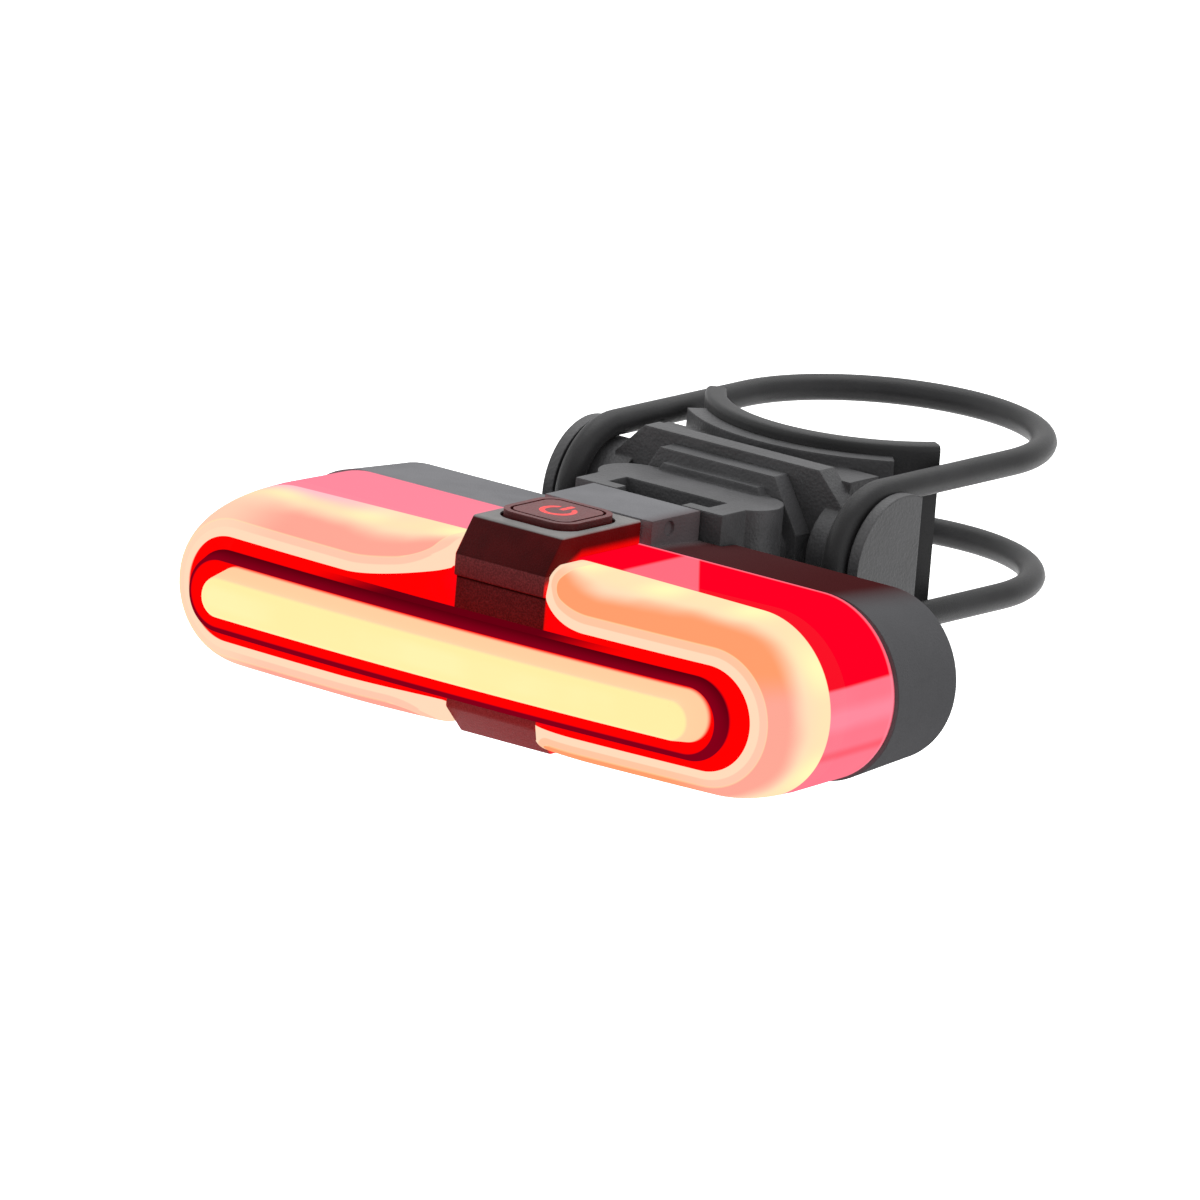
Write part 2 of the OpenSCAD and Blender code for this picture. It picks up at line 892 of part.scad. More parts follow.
module release_tab() {
    color([0.25, 0.25, 0.26])
    in_head()
    difference() {
        union() {
            box([-tab_half, tab_y, tab_z0], [tab_half, tab_y + tab_t, tab_z1]);
            box([-tab_half, recess_y + stem_t + tongue_t + nose_gap, tab_z1 - nose_h],
                [tab_half, tab_y + eps, tab_z1]);
            box([-tab_half - tab_pad_side, tab_y - tab_pad_t, tab_z0],
                [tab_half + tab_pad_side, tab_y + tab_t, tab_z0 + tab_pad_h]);
            rod_x(tab_y + tab_t / 2, pin_z, knuckle_r, -tab_half, tab_half);
        }
        rod_x(tab_y + tab_t / 2, pin_z, pin_r + play, -big, big);
        for (k = [0 : tab_rib_n - 1])
            rod_x(tab_y - tab_pad_t, tab_z0 + tab_rib_start + k * tab_rib_pitch, mark_t, -big, big);
    }
}

module tab_pin() {
    color([0.7, 0.7, 0.72])
    in_head()
    rod_x(tab_y + tab_t / 2, pin_z, pin_r, -pin_half, pin_half);
}

// Sector of a ring round the post, facing the light
module saddle(r0, r1, half_angle, half_h) {
    translate([0, 0, -half_h])
        rotate([0, 0, -90 - half_angle])
            rotate_extrude(angle = 2 * half_angle, $fn = 128)
                translate([r0, 0])
                    square([r1 - r0, 2 * half_h]);
}

module bracket_base() {
    color([0.22, 0.22, 0.23])
    difference() {
        union() {
            plate(-base_front, base_t - base_front)
                polygon([[base_cut - base_half, base_z1], [base_half - base_cut, base_z1],
                         [base_half, base_z1 - base_cut],
                         [base_half, base_z0 + base_cut], [base_half - base_cut, base_z0],
                         [base_cut - base_half, base_z0], [-base_half, base_z0 + base_cut],
                         [-base_half, base_z1 - base_cut]]);
            saddle(post_r + pad_t + play, post_r + pad_t + saddle_t, saddle_angle, base_z1);
            difference() {
                box([base_edge - base_half, base_t - base_front - eps, base_edge - base_z1],
                    [base_half - base_edge, -hook_y + hook_r - core_step, base_z1 - base_edge]);
                translate([0, 0, -big / 2])
                    cylinder(h = big, r = post_r + pad_t + play, $fn = 128);
            }
            for (m = [0, 1])
                mirror([m, 0, 0])
                    ear();
        }
        for (s = [-1, 1]) {
            rod_y(s * base_screw_x, 0, screw_r + play, -base_front - eps, 0);
            rod_y(s * base_screw_x, 0, screw_head_r + play, base_seat_y, 0);
        }
    }
}

// Ear with a round hook for the rubber ring and a lip outside it
module ear() {
    difference() {
        union() {
            rod_x(-hook_y, 0, hook_r, base_half - ear_root, band_x + hook_half_w + eps);
            rod_x(-hook_y, 0, hook_r + lip_extra, band_x + hook_half_w, band_x + hook_half_w + lip_t);
        }
        box([0, -hook_y + hook_r / 2, -big], [big, big, big]);
    }
}

module base_screws() {
    color([0.3, 0.3, 0.32])
    for (s = [-1, 1])
        screw(s * base_screw_x, 0, base_seat_y + screw_head_t, screw_head_t + base_t + base_screw_bite);
}

module rubber_pad() {
    color([0.13, 0.13, 0.13])
    saddle(post_r, post_r + pad_t, pad_angle, pad_half_h);
}

module rubber_band() {
    color([0.12, 0.12, 0.12]) {
        for (s = [-1, 1])
            translate([0, 0, s * strand_z]) {
                rotate_extrude(angle = 180, $fn = 128)
                    translate([band_x, 0])
                        circle(band_r, $fn = 32);
                for (t = [-1, 1])
                    translate([t * band_x, 0, 0])
                        rotate([90, 0, 0])
                            cylinder(h = hook_y, r = band_r, $fn = 32);
            }
        for (t = [-1, 1])
            translate([t * band_x, -hook_y, 0])
                rotate([0, 90, 0])
                    rotate([0, 0, 180])
                        rotate_extrude(angle = 180, $fn = 96)
                            translate([strand_z, 0])
                                circle(band_r, $fn = 32);
    }
}

rear_housing();
side_lens();
ring_lens_left();
ring_lens_right();
red_seat();
front_frame();
strip_lens();
centre_bridge();
power_button();
button_mark();
button_seal();
circuit_board();
ring_leds();
strip_leds();
tact_switch();
battery_cell();
battery_pad();
usb_port();
port_cover();
housing_seal();
housing_screws();
slide_tongue();
tongue_screws();
bracket_body();
release_tab();
tab_pin();
bracket_base();
base_screws();
rubber_pad();
rubber_band();
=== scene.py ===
"""Dresses the solids of a bicycle rear light for a studio picture.

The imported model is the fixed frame. The lit lenses, the strip with its frame and seat,
the bridge and the rubber pieces are modelled again with fine rounded edges. Every other
solid keeps its shape, and each surface gets a finish of its own.
"""

import math

import bmesh
import bpy
from bpy.props import FloatProperty, FloatVectorProperty, IntProperty, PointerProperty
from mathutils import Matrix, Vector


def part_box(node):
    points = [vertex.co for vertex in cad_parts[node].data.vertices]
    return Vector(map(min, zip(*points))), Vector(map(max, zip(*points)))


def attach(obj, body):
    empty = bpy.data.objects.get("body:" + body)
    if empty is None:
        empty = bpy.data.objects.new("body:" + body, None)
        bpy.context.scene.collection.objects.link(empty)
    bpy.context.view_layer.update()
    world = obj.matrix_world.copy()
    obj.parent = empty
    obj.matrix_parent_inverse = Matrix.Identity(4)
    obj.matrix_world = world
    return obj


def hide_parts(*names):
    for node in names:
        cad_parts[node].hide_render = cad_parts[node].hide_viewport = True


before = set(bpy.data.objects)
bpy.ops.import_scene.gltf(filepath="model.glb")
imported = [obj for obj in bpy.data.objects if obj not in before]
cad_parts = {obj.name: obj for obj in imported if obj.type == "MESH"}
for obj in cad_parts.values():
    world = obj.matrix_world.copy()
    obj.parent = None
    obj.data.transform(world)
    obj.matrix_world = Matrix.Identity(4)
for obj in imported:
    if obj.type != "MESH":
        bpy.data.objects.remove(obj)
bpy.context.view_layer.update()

bl_info = {
    "name": "Rear Light Dresser",
    "version": (1, 0, 0),
    "blender": (4, 5, 0),
    "location": "View3D > Sidebar > Rear Light",
    "description": "Models the lit and rubber pieces of a rear light and finishes all of it",
    "category": "Object",
}

SEAM_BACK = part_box("housing_seal")[0].y
CENTRE_HEIGHT = (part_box("strip_lens")[0].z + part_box("strip_lens")[1].z) / 2
MM = 0.001
UP = Vector((0, 0, 1))
END_STEPS = 40
BOW_STEPS = 24


def shade(red, green, blue):
    """Colour values of a picture, 0 to 255, as the linear values that a shader takes."""
    linear = []
    for value in (red, green, blue):
        part = value / 255
        linear.append(part / 12.92 if part <= 0.04045 else ((part + 0.055) / 1.055) ** 2.4)
    return tuple(linear)


def length(name, description, default):
    """A size in metres that shows with its unit."""
    return FloatProperty(name=name, description=description, default=default, unit="LENGTH", precision=5)


def angle(name, description, degrees):
    """An angle, given in degrees."""
    return FloatProperty(name=name, description=description, default=math.radians(degrees), subtype="ANGLE")


def number(name, description, default):
    """A plain number."""
    return FloatProperty(name=name, description=description, default=default)


def colour(name, description, default):
    """A colour that shows as a swatch."""
    return FloatVectorProperty(name=name, description=description, default=default, subtype="COLOR",
                               size=3, min=0, max=1)


class HeadSizes(bpy.types.PropertyGroup):
    """Sizes of the light head, as in the solids or close to them"""

    bow_radius: length("Bow radius", "Radius of the front's bow, seen from above", 0.375)
    spine_half: length("Half spine", "Half length between the round ends", 0.026)
    side_depth: length("Side wall", "Depth of the clear side wall at the middle", 0.0088)
    ring_outer: length("Ring outside", "Outer radius of the lit ring", 0.00836)
    ring_inner: length("Ring inside", "Inner radius of the lit ring", 0.00475)
    ring_depth: length("Ring depth", "Depth of the lit ring", 0.010)
    ring_crown: length("Ring crown", "Depth at which the ring's crowned face would close", 0.0103)
    facet_outer: length("Facet outside", "Outer radius of the ring's inner facet", 0.0063)
    facet_depth: length("Facet depth", "Depth of the outer edge of the ring's inner facet", 0.0095)
    wall_wrap: length("Wall wrap", "How far the wall wraps the ring's foot at the ends", 0.0008)
    ring_flare: length("Ring flare", "How much wider the ring's inside is at its foot", 0.0024)
    facet: length("Ring facet", "Width of the inner facet of the ring", 0.0024)
    ring_fall: length("Ring fall", "How far the ring falls back beside the bridge", 0.0049)
    ring_slope: length("Ring slope", "Length over which the ring falls back", 0.0081)
    bridge_side: length("Bridge side", "Distance from the middle to the ends of the ring", 0.0052)
    end_round: length("End rounding", "Rounding of the ends of the ring", 0.0012)
    seat_depth: length("Seat depth", "Depth of the red seat in front of the side wall", 0.0085)
    strip_foot: length("Strip foot", "Half width of the strip at its foot", 0.00245)
    strip_face: length("Strip face", "Half width of the strip's front face", 0.00175)
    strip_wall: length("Strip wall", "Height of the strip's straight wall", 0.0017)
    strip_rise: length("Strip rise", "Height of the strip above its seat", 0.00498)
    strip_short: length("Strip shortening", "How much sooner the strip ends than the ring's spine", 0.0015)
    frame_inner: length("Frame inside", "Inner radius of the frame", 0.00295)
    frame_outer: length("Frame outside", "Outer radius of the frame at its lip", 0.00385)
    frame_foot: length("Frame foot", "Outer radius of the frame at its seat", 0.0037)
    frame_lip: length("Frame lip", "Height of the frame's lip", 0.0024)
    frame_rise: length("Frame rise", "Height of the frame above its seat", 0.0038)
    frame_short: length("Frame shortening", "How much sooner the frame ends than the ring's spine", 0.0007)
    floor_depth: length("Floor depth", "Depth of the red floor between the frame and the ring", 0.0042)
    floor_reach: length("Floor reach", "Half width of the red floor", 0.0061)
    spine_reach: length("Spine reach", "Half width of the red spine that carries the frame", 0.002)


class BridgeSizes(bpy.types.PropertyGroup):
    """Sizes of the dark bridge, ahead of the seam and above the middle"""

    half: length("Half width", "Half width of the bridge", 0.0051)
    back: length("Back", "Distance of the bridge's back from the seam", 0.00035)
    front: length("Front", "Distance of the bridge's front from the seam", 0.0137)
    undercut: length("Undercut", "How far the plate under the band is set back", 0.0004)
    rounding: length("Rounding", "Rounding of the edges", 0.00035)
    deck: length("Deck", "Height of the deck", 0.0106)
    deck_front: length("Deck front", "Distance of the deck's front edge from the seam", 0.0115)
    brow: length("Brow", "Height at which the front's slope ends", 0.0074)
    band_foot: length("Band foot", "Height of the foot of the band under the slope", 0.0054)
    chin: length("Chin", "Height at which the plate ends", -0.0066)
    sole: length("Sole", "Height of the underside", -0.0092)
    sole_front: length("Sole front", "Distance of the underside's front edge from the seam", 0.0108)
    head_radius: length("Head radius", "Radius of the head that the bridge reaches round", 0.0084)
    pocket_width: length("Pocket width", "Width of the button's pocket", 0.0086)
    pocket_round: length("Pocket rounding", "Radius of the pocket's corners", 0.0023)
    pocket_depth: length("Pocket depth", "Depth of the pocket", 0.0015)
    pocket_place: length("Pocket place", "Distance of the pocket's middle from the seam", 0.0059)


class RubberSizes(bpy.types.PropertyGroup):
    """Sizes of the rubber ring and the pad"""

    band_radius: length("Ring section", "Radius of the rubber ring's round section", 0.0012)
    band_reach: length("Ring reach", "Distance of the rubber ring from the post's axis", 0.015)
    strand_height: length("Strand height", "Height of a strand above the pad's middle", 0.00618)
    hook_distance: length("Hook distance", "Distance of the hooks from the post's axis", 0.019)
    flash: length("Mould line", "Height of the line that the mould leaves on the ring", 0.00004)
    pad_inner: length("Pad inside", "Inner radius of the pad", 0.0136)
    pad_thickness: length("Pad thickness", "Thickness of the pad", 0.002)
    pad_half_height: length("Pad half height", "Half height of the pad", 0.0085)
    groove_depth: length("Groove depth", "Depth of the grooves on the pad's inside", 0.0005)
    pad_angle: angle("Pad angle", "Angle that the pad wraps round the post", 116)
    grooves: IntProperty(name="Grooves", description="Number of grooves on the pad's inside", default=6)


class LightColours(bpy.types.PropertyGroup):
    """Colours of the light's finishes"""

    plastic: colour("Plastic", "Matt plastic of the back shell and the bracket", shade(92, 92, 94))
    rubber: colour("Rubber", "Rubber ring, pad and cover", shade(42, 42, 43))
    # Maroon is also the colour of the painted shade on the back shell's top.
    maroon: colour("Maroon", "Slope of the dark bridge", shade(66, 8, 9))
    dusk: colour("Dusk", "Grained band and plate of the bridge", shade(112, 50, 52))
    deck: colour("Deck", "Top of the bridge", shade(132, 130, 129))
    wine: colour("Wine", "Frame around the strip", shade(112, 0, 20))
    ring: colour("Ring", "Pale frosted ring", shade(255, 220, 188))
    ring_shadow: colour("Ring shadow", "Warm band between the ring's lamps", shade(255, 158, 108))
    flush: colour("Flush", "Warm band round the ends and on the left", shade(254, 168, 150))
    hot: colour("Hot spot", "Ring right above a lamp", shade(255, 243, 178))
    strip: colour("Strip", "Front face of the strip", shade(255, 236, 164))
    strip_side: colour("Strip side", "Walls of the strip", shade(255, 208, 162))
    red: colour("Red", "Lit seat around the strip", shade(255, 2, 2))
    crimson: colour("Crimson", "Clear red side wall", shade(250, 0, 34))
    # Blush is the colour of the painted pale rim light on the ring's outer edge.
    blush: colour("Blush", "Soft outer edge of the ring", shade(255, 196, 204))
    # Pink is the colour of the painted highlights on the side wall and along its seam.
    pink: colour("Pink", "Bright streaks in the side wall", shade(255, 140, 160))


class StageSettings(bpy.types.PropertyGroup):
    """Camera, floor and lamps"""

    azimuth: angle("Azimuth", "Turn of the camera to the light's right side", 36.7)
    elevation: angle("Elevation", "Height of the camera", 13.9)
    roll: angle("Roll", "Lean of the picture", -4.8)
    distance: length("Distance", "Distance of the camera from the seam", 2.063)
    focal: number("Focal length", "Focal length in millimetres", 700.8)
    shift_right: length("Aim right", "Aim to the right of the seam's middle", 0.00097)
    shift_up: length("Aim up", "Aim above the seam's middle", 0.00212)
    floor_drop: length("Floor", "Height of the floor under the post's middle", -0.095)
    floor_size: length("Floor size", "Side of the floor", 8)
    ambient: number("Ambient", "Level of the light from all around", 0.45)


class Signal:
    """A number that changes over a surface. Sums and products of it become Math nodes."""

    def __init__(self, finish, socket):
        self.finish = finish
        self.socket = socket

    def maths(self, operation, *others):
        """The result of a Math node on this number and others."""
        return self.finish.node("ShaderNodeMath", {"operation": operation}, dict(enumerate((self, *others))))

    def __add__(self, other):
        return self.maths("ADD", other)

    __radd__ = __add__

    def __sub__(self, other):
        return self.maths("SUBTRACT", other)

    def __rsub__(self, other):
        return self * -1 + other

    def __mul__(self, other):
        return self.maths("MULTIPLY", other)

    __rmul__ = __mul__

    def __truediv__(self, other):
        return self.maths("DIVIDE", other)

    def __abs__(self):
        return self.maths("ABSOLUTE")

    def root(self):
        """The square root."""
        return self.maths("SQRT")

    def at_least(self, lowest):
        """This number, or lowest where it is less."""
        return self.maths("MAXIMUM", lowest)

    def at_most(self, highest):
        """This number, or highest where it is more."""
        return self.maths("MINIMUM", highest)

    def rise(self, start, end):
        """A smooth step from 0 at start to 1 at end."""
        values = {"Value": self, "From Min": start, "From Max": end}
        return self.finish.node("ShaderNodeMapRange", {"interpolation_type": "SMOOTHSTEP"}, values)

    def band(self, middle, half):
        """1 at the middle, falling smoothly to 0 half away from it."""
        return 1 - abs(self - middle).rise(0, half)

    def patches(self):
        """Soft patches from 0 to 1, out of the middle of a noise's range."""
        return self.rise(0.3, 0.7)


class Finish:
    """A material whose colour, gloss and grain are worked out from places on the piece."""

    def __init__(self, name, **constants):
        self.material = bpy.data.materials.new(name)
        self.material.use_nodes = True
        self.tree = self.material.node_tree
        self.shader = self.tree.nodes["Principled BSDF"]
        self.give(**constants)
        self.places = self.node("ShaderNodeTexCoord", output="Object")

    def give(self, **inputs):
        """Sets or links inputs of the shader; base_color stands for Base Color."""
        names = {}
        for name, value in inputs.items():
            title = name.replace("_", " ").title().replace("Ior", "IOR")
            names[title] = value
        self.feed(self.shader, names)

    def feed(self, node, values):
        """Sets or links the inputs of a node."""
        for name, value in values.items():
            if isinstance(value, Signal):
                self.tree.links.new(value.socket, node.inputs[name])
            elif node.inputs[name].type == "RGBA":
                node.inputs[name].default_value = (*value, 1)
            else:
                node.inputs[name].default_value = value

    def node(self, kind, settings=None, values=None, output=0):
        """A new node's output, after its settings and then its inputs are given."""
        node = self.tree.nodes.new(kind)
        for name, value in (settings or {}).items():
            setattr(node, name, value)
        self.feed(node, values or {})
        return Signal(self, node.outputs[output])

    def mix(self, factor, first, second):
        """The first colour where the factor is 0, the second where it is 1."""
        node = self.tree.nodes.new("ShaderNodeMix")
        node.data_type = "RGBA"
        colours = [socket for socket in node.inputs if socket.type == "RGBA"]
        self.feed(node, {"Factor": factor})
        for socket, value in zip(colours, (first, second)):
            if isinstance(value, Signal):
                self.tree.links.new(value.socket, socket)
            else:
                socket.default_value = (*value, 1)
        return Signal(self, [socket for socket in node.outputs if socket.type == "RGBA"][0])

    def tones(self, factor, base, first, second):
        """One colour in two tones, the first where the factor is 0, the second where it is 1."""
        return self.mix(factor, tinted(base, first), tinted(base, second))

    def noise(self, grain, detail=2):
        """Soft random grain of about the given size in metres."""
        return self.node("ShaderNodeTexNoise", None,
                         {"Vector": self.places, "Scale": 1 / grain, "Detail": detail})

    def cells(self, grain):
        """Distance to the nearest of random points about the given size apart."""
        return self.node("ShaderNodeTexVoronoi", None, {"Vector": self.places, "Scale": 1 / grain})

    def axes(self):
        """The three coordinates of a place on the piece, in millimetres."""
        parts = self.tree.nodes.new("ShaderNodeSeparateXYZ")
        self.tree.links.new(self.places.socket, parts.inputs[0])
        return [Signal(self, parts.outputs[index]) / MM for index in range(3)]

    def bump(self, height, depth, edge=0):
        """Lets a height of the given depth roughen the surface, and softens its edges to a radius."""
        values = {"Height": height, "Distance": depth}
        if edge:
            values["Normal"] = self.node("ShaderNodeBevel", {"samples": 4}, {"Radius": edge})
        self.give(normal=self.node("ShaderNodeBump", None, values))

    def stored(self, name):
        """A number that the mesh carries at its points."""
        return self.node("ShaderNodeAttribute", {"attribute_name": name}, output="Fac")

    def grained(self, grain, smooth, spread, depth):
        """Lets a grain vary the gloss and the height of the surface; returns the finished material."""
        self.give(roughness=smooth + spread * grain)
        self.bump(grain, depth)
        return self.material


class LensPlace:
    """Distance from a lens's spine, depth ahead of the side wall, x and level, in millimetres."""

    def __init__(self, finish, sizes, shorter=0):
        x, y, z = finish.axes()
        bow = sizes.bow_radius / MM
        behind = y - (SEAM_BACK + sizes.bow_radius - sizes.side_depth) / MM
        radius = (x * x + behind * behind).root()
        along = abs(x) * bow / radius
        past_end = (along - (sizes.spine_half - shorter) / MM).at_least(0)
        self.x = x
        self.level = z - CENTRE_HEIGHT / MM
        self.depth = radius - bow
        self.across = (past_end * past_end + self.level * self.level).root()


def tinted(value, factor):
    """A colour made lighter or darker."""
    return tuple(min(part * factor, 1) for part in value)


def glowing(name, base, share, gloss=0):
    """A finish that shines by itself and gives back only a share of the light from outside."""
    return Finish(name, base_color=tinted(base, share), specular_ior_level=gloss, emission_strength=1)


def etched(finish, grain):
    """Gives a finish the fine texture of an etched mould; returns its soft clouds."""
    cells = finish.cells(grain)
    cloud = finish.noise(0.004, 3)
    fine = finish.noise(grain / 2)
    depth = 0.00003
    edge = 0.00025
    finish.give(roughness=0.42 + 0.12 * cloud + 0.12 * fine)
    finish.bump(cells + 0.6 * fine, depth, edge)
    return cloud.patches()


def matt_plastic(name, base, grain):
    """Dark moulded plastic."""
    finish = Finish(name, specular_ior_level=0.5)
    cloud = etched(finish, grain)
    finish.give(base_color=finish.tones(cloud, base, 0.85, 1.2))
    return finish.material


def housing_plastic(name, sizes, colours):
    """Moulded plastic of the back shell, painted lighter on its left part and easing to about its own tone
    at the right end, with painted dark maroon shade on its top between the neck and the right end.
    """
    finish = Finish(name, specular_ior_level=0)
    x, _, z = finish.axes()
    cloud = etched(finish, 0.00022)
    neck = 4
    spine = sizes.spine_half / MM
    top = (z - CENTRE_HEIGHT / MM).rise(5.5, 7.8)
    # Painted shade: the top between the neck and the right end is painted dark maroon.
    dark = x.rise(neck, 2 * neck) * x.rise(spine + 4, spine - 1) * top
    # Painted light: the shell is painted more than twice as light left of the neck, easing to about its own
    # tone at the right end, in place of the sheen and light that the shader does not give.
    plain = finish.tones(x.rise(neck, spine), colours.plastic, 2.2, 1.03)
    clouded = finish.mix(cloud * 0.12, plain, tinted(colours.plastic, 0.6))
    finish.give(base_color=finish.mix(dark * 0.9, clouded, colours.maroon))
    return finish.material


def soft_rubber(name, base):
    """Black rubber with a bloom, fine specks and a soft shine."""
    finish = Finish(name, specular_ior_level=0.2, sheen_weight=0.05, sheen_roughness=0.5)
    bloom = finish.noise(0.006, 4)
    specks = finish.cells(0.0005)
    fine = finish.noise(0.00012)
    dust = specks.rise(0.1, 0.02) * bloom.rise(0.55, 0.75)
    skin = finish.tones(bloom.patches(), base, 0.8, 1.25)
    finish.give(base_color=finish.mix(dust * 0.5, skin, tinted(base, 4)))
    finish.give(roughness=0.36 + 0.2 * bloom)
    finish.bump(fine + 0.4 * bloom, 0.000025)
    return finish.material


def bridge_plastic(name, sizes, wall_depth, colours):
    """Dark plastic: a pale deck, a deep slope, a grained front with a painted shadow in the crease under the
    band, and painted red light on the sides where the ring would light them and faintly on the lower part.
    """
    finish = Finish(name, specular_ior_level=0.05, emission_strength=1)
    x, y, z = finish.axes()
    level = z - CENTRE_HEIGHT / MM
    cloud = finish.noise(0.003, 3)
    fine = finish.noise(0.00016)
    grain = fine.rise(0.3, 0.75)
    brow = sizes.brow / MM
    foot = sizes.band_foot / MM
    deck = sizes.deck / MM
    half = sizes.half / MM
    band = finish.tones(grain, colours.dusk, 0.7, 1.3)
    plate = finish.tones(grain, colours.dusk, 0.45, 0.95)
    lower = finish.mix(level.rise(foot - 0.1, foot), plate, band)
    upper = finish.tones(cloud.patches(), colours.maroon, 0.8, 1.2)
    body = finish.mix(level.rise(brow, brow - 0.12), upper, lower)
    # Painted shadow: a dark maroon line in the crease at the foot of the band.
    crease_shadowed = finish.mix(level.band(foot - 0.12, 0.22), body, tinted(colours.maroon, 0.2))
    pale = finish.tones(cloud.patches(), colours.deck, 0.9, 1.1)
    finish.give(base_color=finish.mix(level.rise(deck - 0.22, deck - 0.08), crease_shadowed, pale))
    # Painted light: the flanks glow red where the ring would light them, and the lower part glows faintly
    # red.
    ring_slant = 0.47
    left_drop = 1.6
    flank = abs(x).rise(half - 0.2, half - 0.02)
    ahead = ((SEAM_BACK - wall_depth) / MM - y).at_least(0)
    above = level - sizes.head_radius / MM + ring_slant * ahead - left_drop * x.rise(0, -1)
    glow = flank * above.rise(1, 0.1)
    under = finish.tones(level.rise(-4.5, -6.5), colours.red, 0, 0.12)
    dim = finish.mix(flank, under, tinted(colours.red, 0.05))
    finish.give(emission_color=finish.mix(glow, dim, tinted(colours.red, 0.85)))
    return finish.grained(fine, 0.4, 0.2, 0.00004)


def button_plastic(name, colours):
    """Dark button: greyer on its top, maroon on its sides."""
    finish = Finish(name, specular_ior_level=0.25)
    height = finish.axes()[2]
    cloud = finish.noise(0.002, 3)
    fine = finish.noise(0.00016)
    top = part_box("power_button")[1].z / MM
    side = finish.tones(cloud.patches(), colours.maroon, 0.9, 1.4)
    face = finish.tones(cloud.patches(), colours.dusk, 0.55, 0.8)
    finish.give(base_color=finish.mix(height.rise(top - 0.15, top - 0.05), side, face))
    return finish.grained(fine, 0.38, 0.15, 0.00003)


def frame_plastic(name, sizes, colours):
    """Dark red frame, its whole colour painted in as glow: painted shade on its upper bar, painted red light
    at its inner edge and on its wall towards the ends.
    """
    finish = glowing(name, colours.wine, 0.03)
    place = LensPlace(finish, sizes, sizes.frame_short)
    fine = finish.noise(0.0002)
    inner = sizes.frame_inner / MM
    lip = (sizes.seat_depth + sizes.frame_lip) / MM
    # Painted red light at the inner edge and, towards the ends, on the outer wall.
    inner_edge = place.across.rise(inner + 0.13, inner + 0.02)
    outer_wall = place.depth.rise(lip - 0.15, lip - 0.6) * abs(place.x).rise(8, 18)
    # Painted shade: the upper bar is painted darker, the lower bar and the inner edge lighter.
    shaded = place.across.rise(inner + 0.3, inner + 1) * place.level.rise(-3, 2) * (0.9 + 0.2 * fine)
    face = finish.tones(shaded, colours.wine, 1.4, 0.55)
    finish.give(emission_color=finish.mix((inner_edge + outer_wall).at_most(1), face, colours.red))
    return finish.grained(fine, 0.38, 0.15, 0.00002)


def wall_tone(finish, sizes, colours):
    """Colour of the clear wall: crimson glow on the right with painted pale highlights, painted paler light
    on the left, and a painted highlight along the seam.
    """
    place = LensPlace(finish, sizes)
    cloud = finish.noise(0.01, 2)
    lean = 0.74
    slant = place.x - lean * (place.depth + sizes.side_depth / MM)
    # Painted highlights: a pale slanted patch, pale window-like bands at the right end, and paler light on
    # the left.
    patch = slant.rise(11.5, 11.2) * place.x.rise(9.6, 10.4) * 0.6
    left = place.x.rise(5, -8)
    cap = place.x.rise(26.5, 30)
    upper = place.level.rise(2.9, 2.5) * 0.8
    window = upper + place.level.band(0, 1.6) * 0.3 - place.level.band(-3.4, 0.8) * 0.3
    bright = (patch + left + cap * window * (0.8 + 0.3 * cloud)).at_most(1)
    body = finish.mix(bright, colours.crimson, colours.pink)
    # Painted highlight: a pink line along the seam.
    seam = finish.axes()[1].rise(SEAM_BACK / MM - 0.5, SEAM_BACK / MM - 0.25)
    return finish.mix(seam * 0.6, body, colours.pink)


def clear_red(name, sizes, colours):
    """Clear red side wall, lit from inside."""
    finish = glowing(name, colours.crimson, 0.05)
    finish.give(emission_color=wall_tone(finish, sizes, colours))
    finish.give(roughness=0.2 + 0.2 * finish.noise(0.001))
    return finish.material


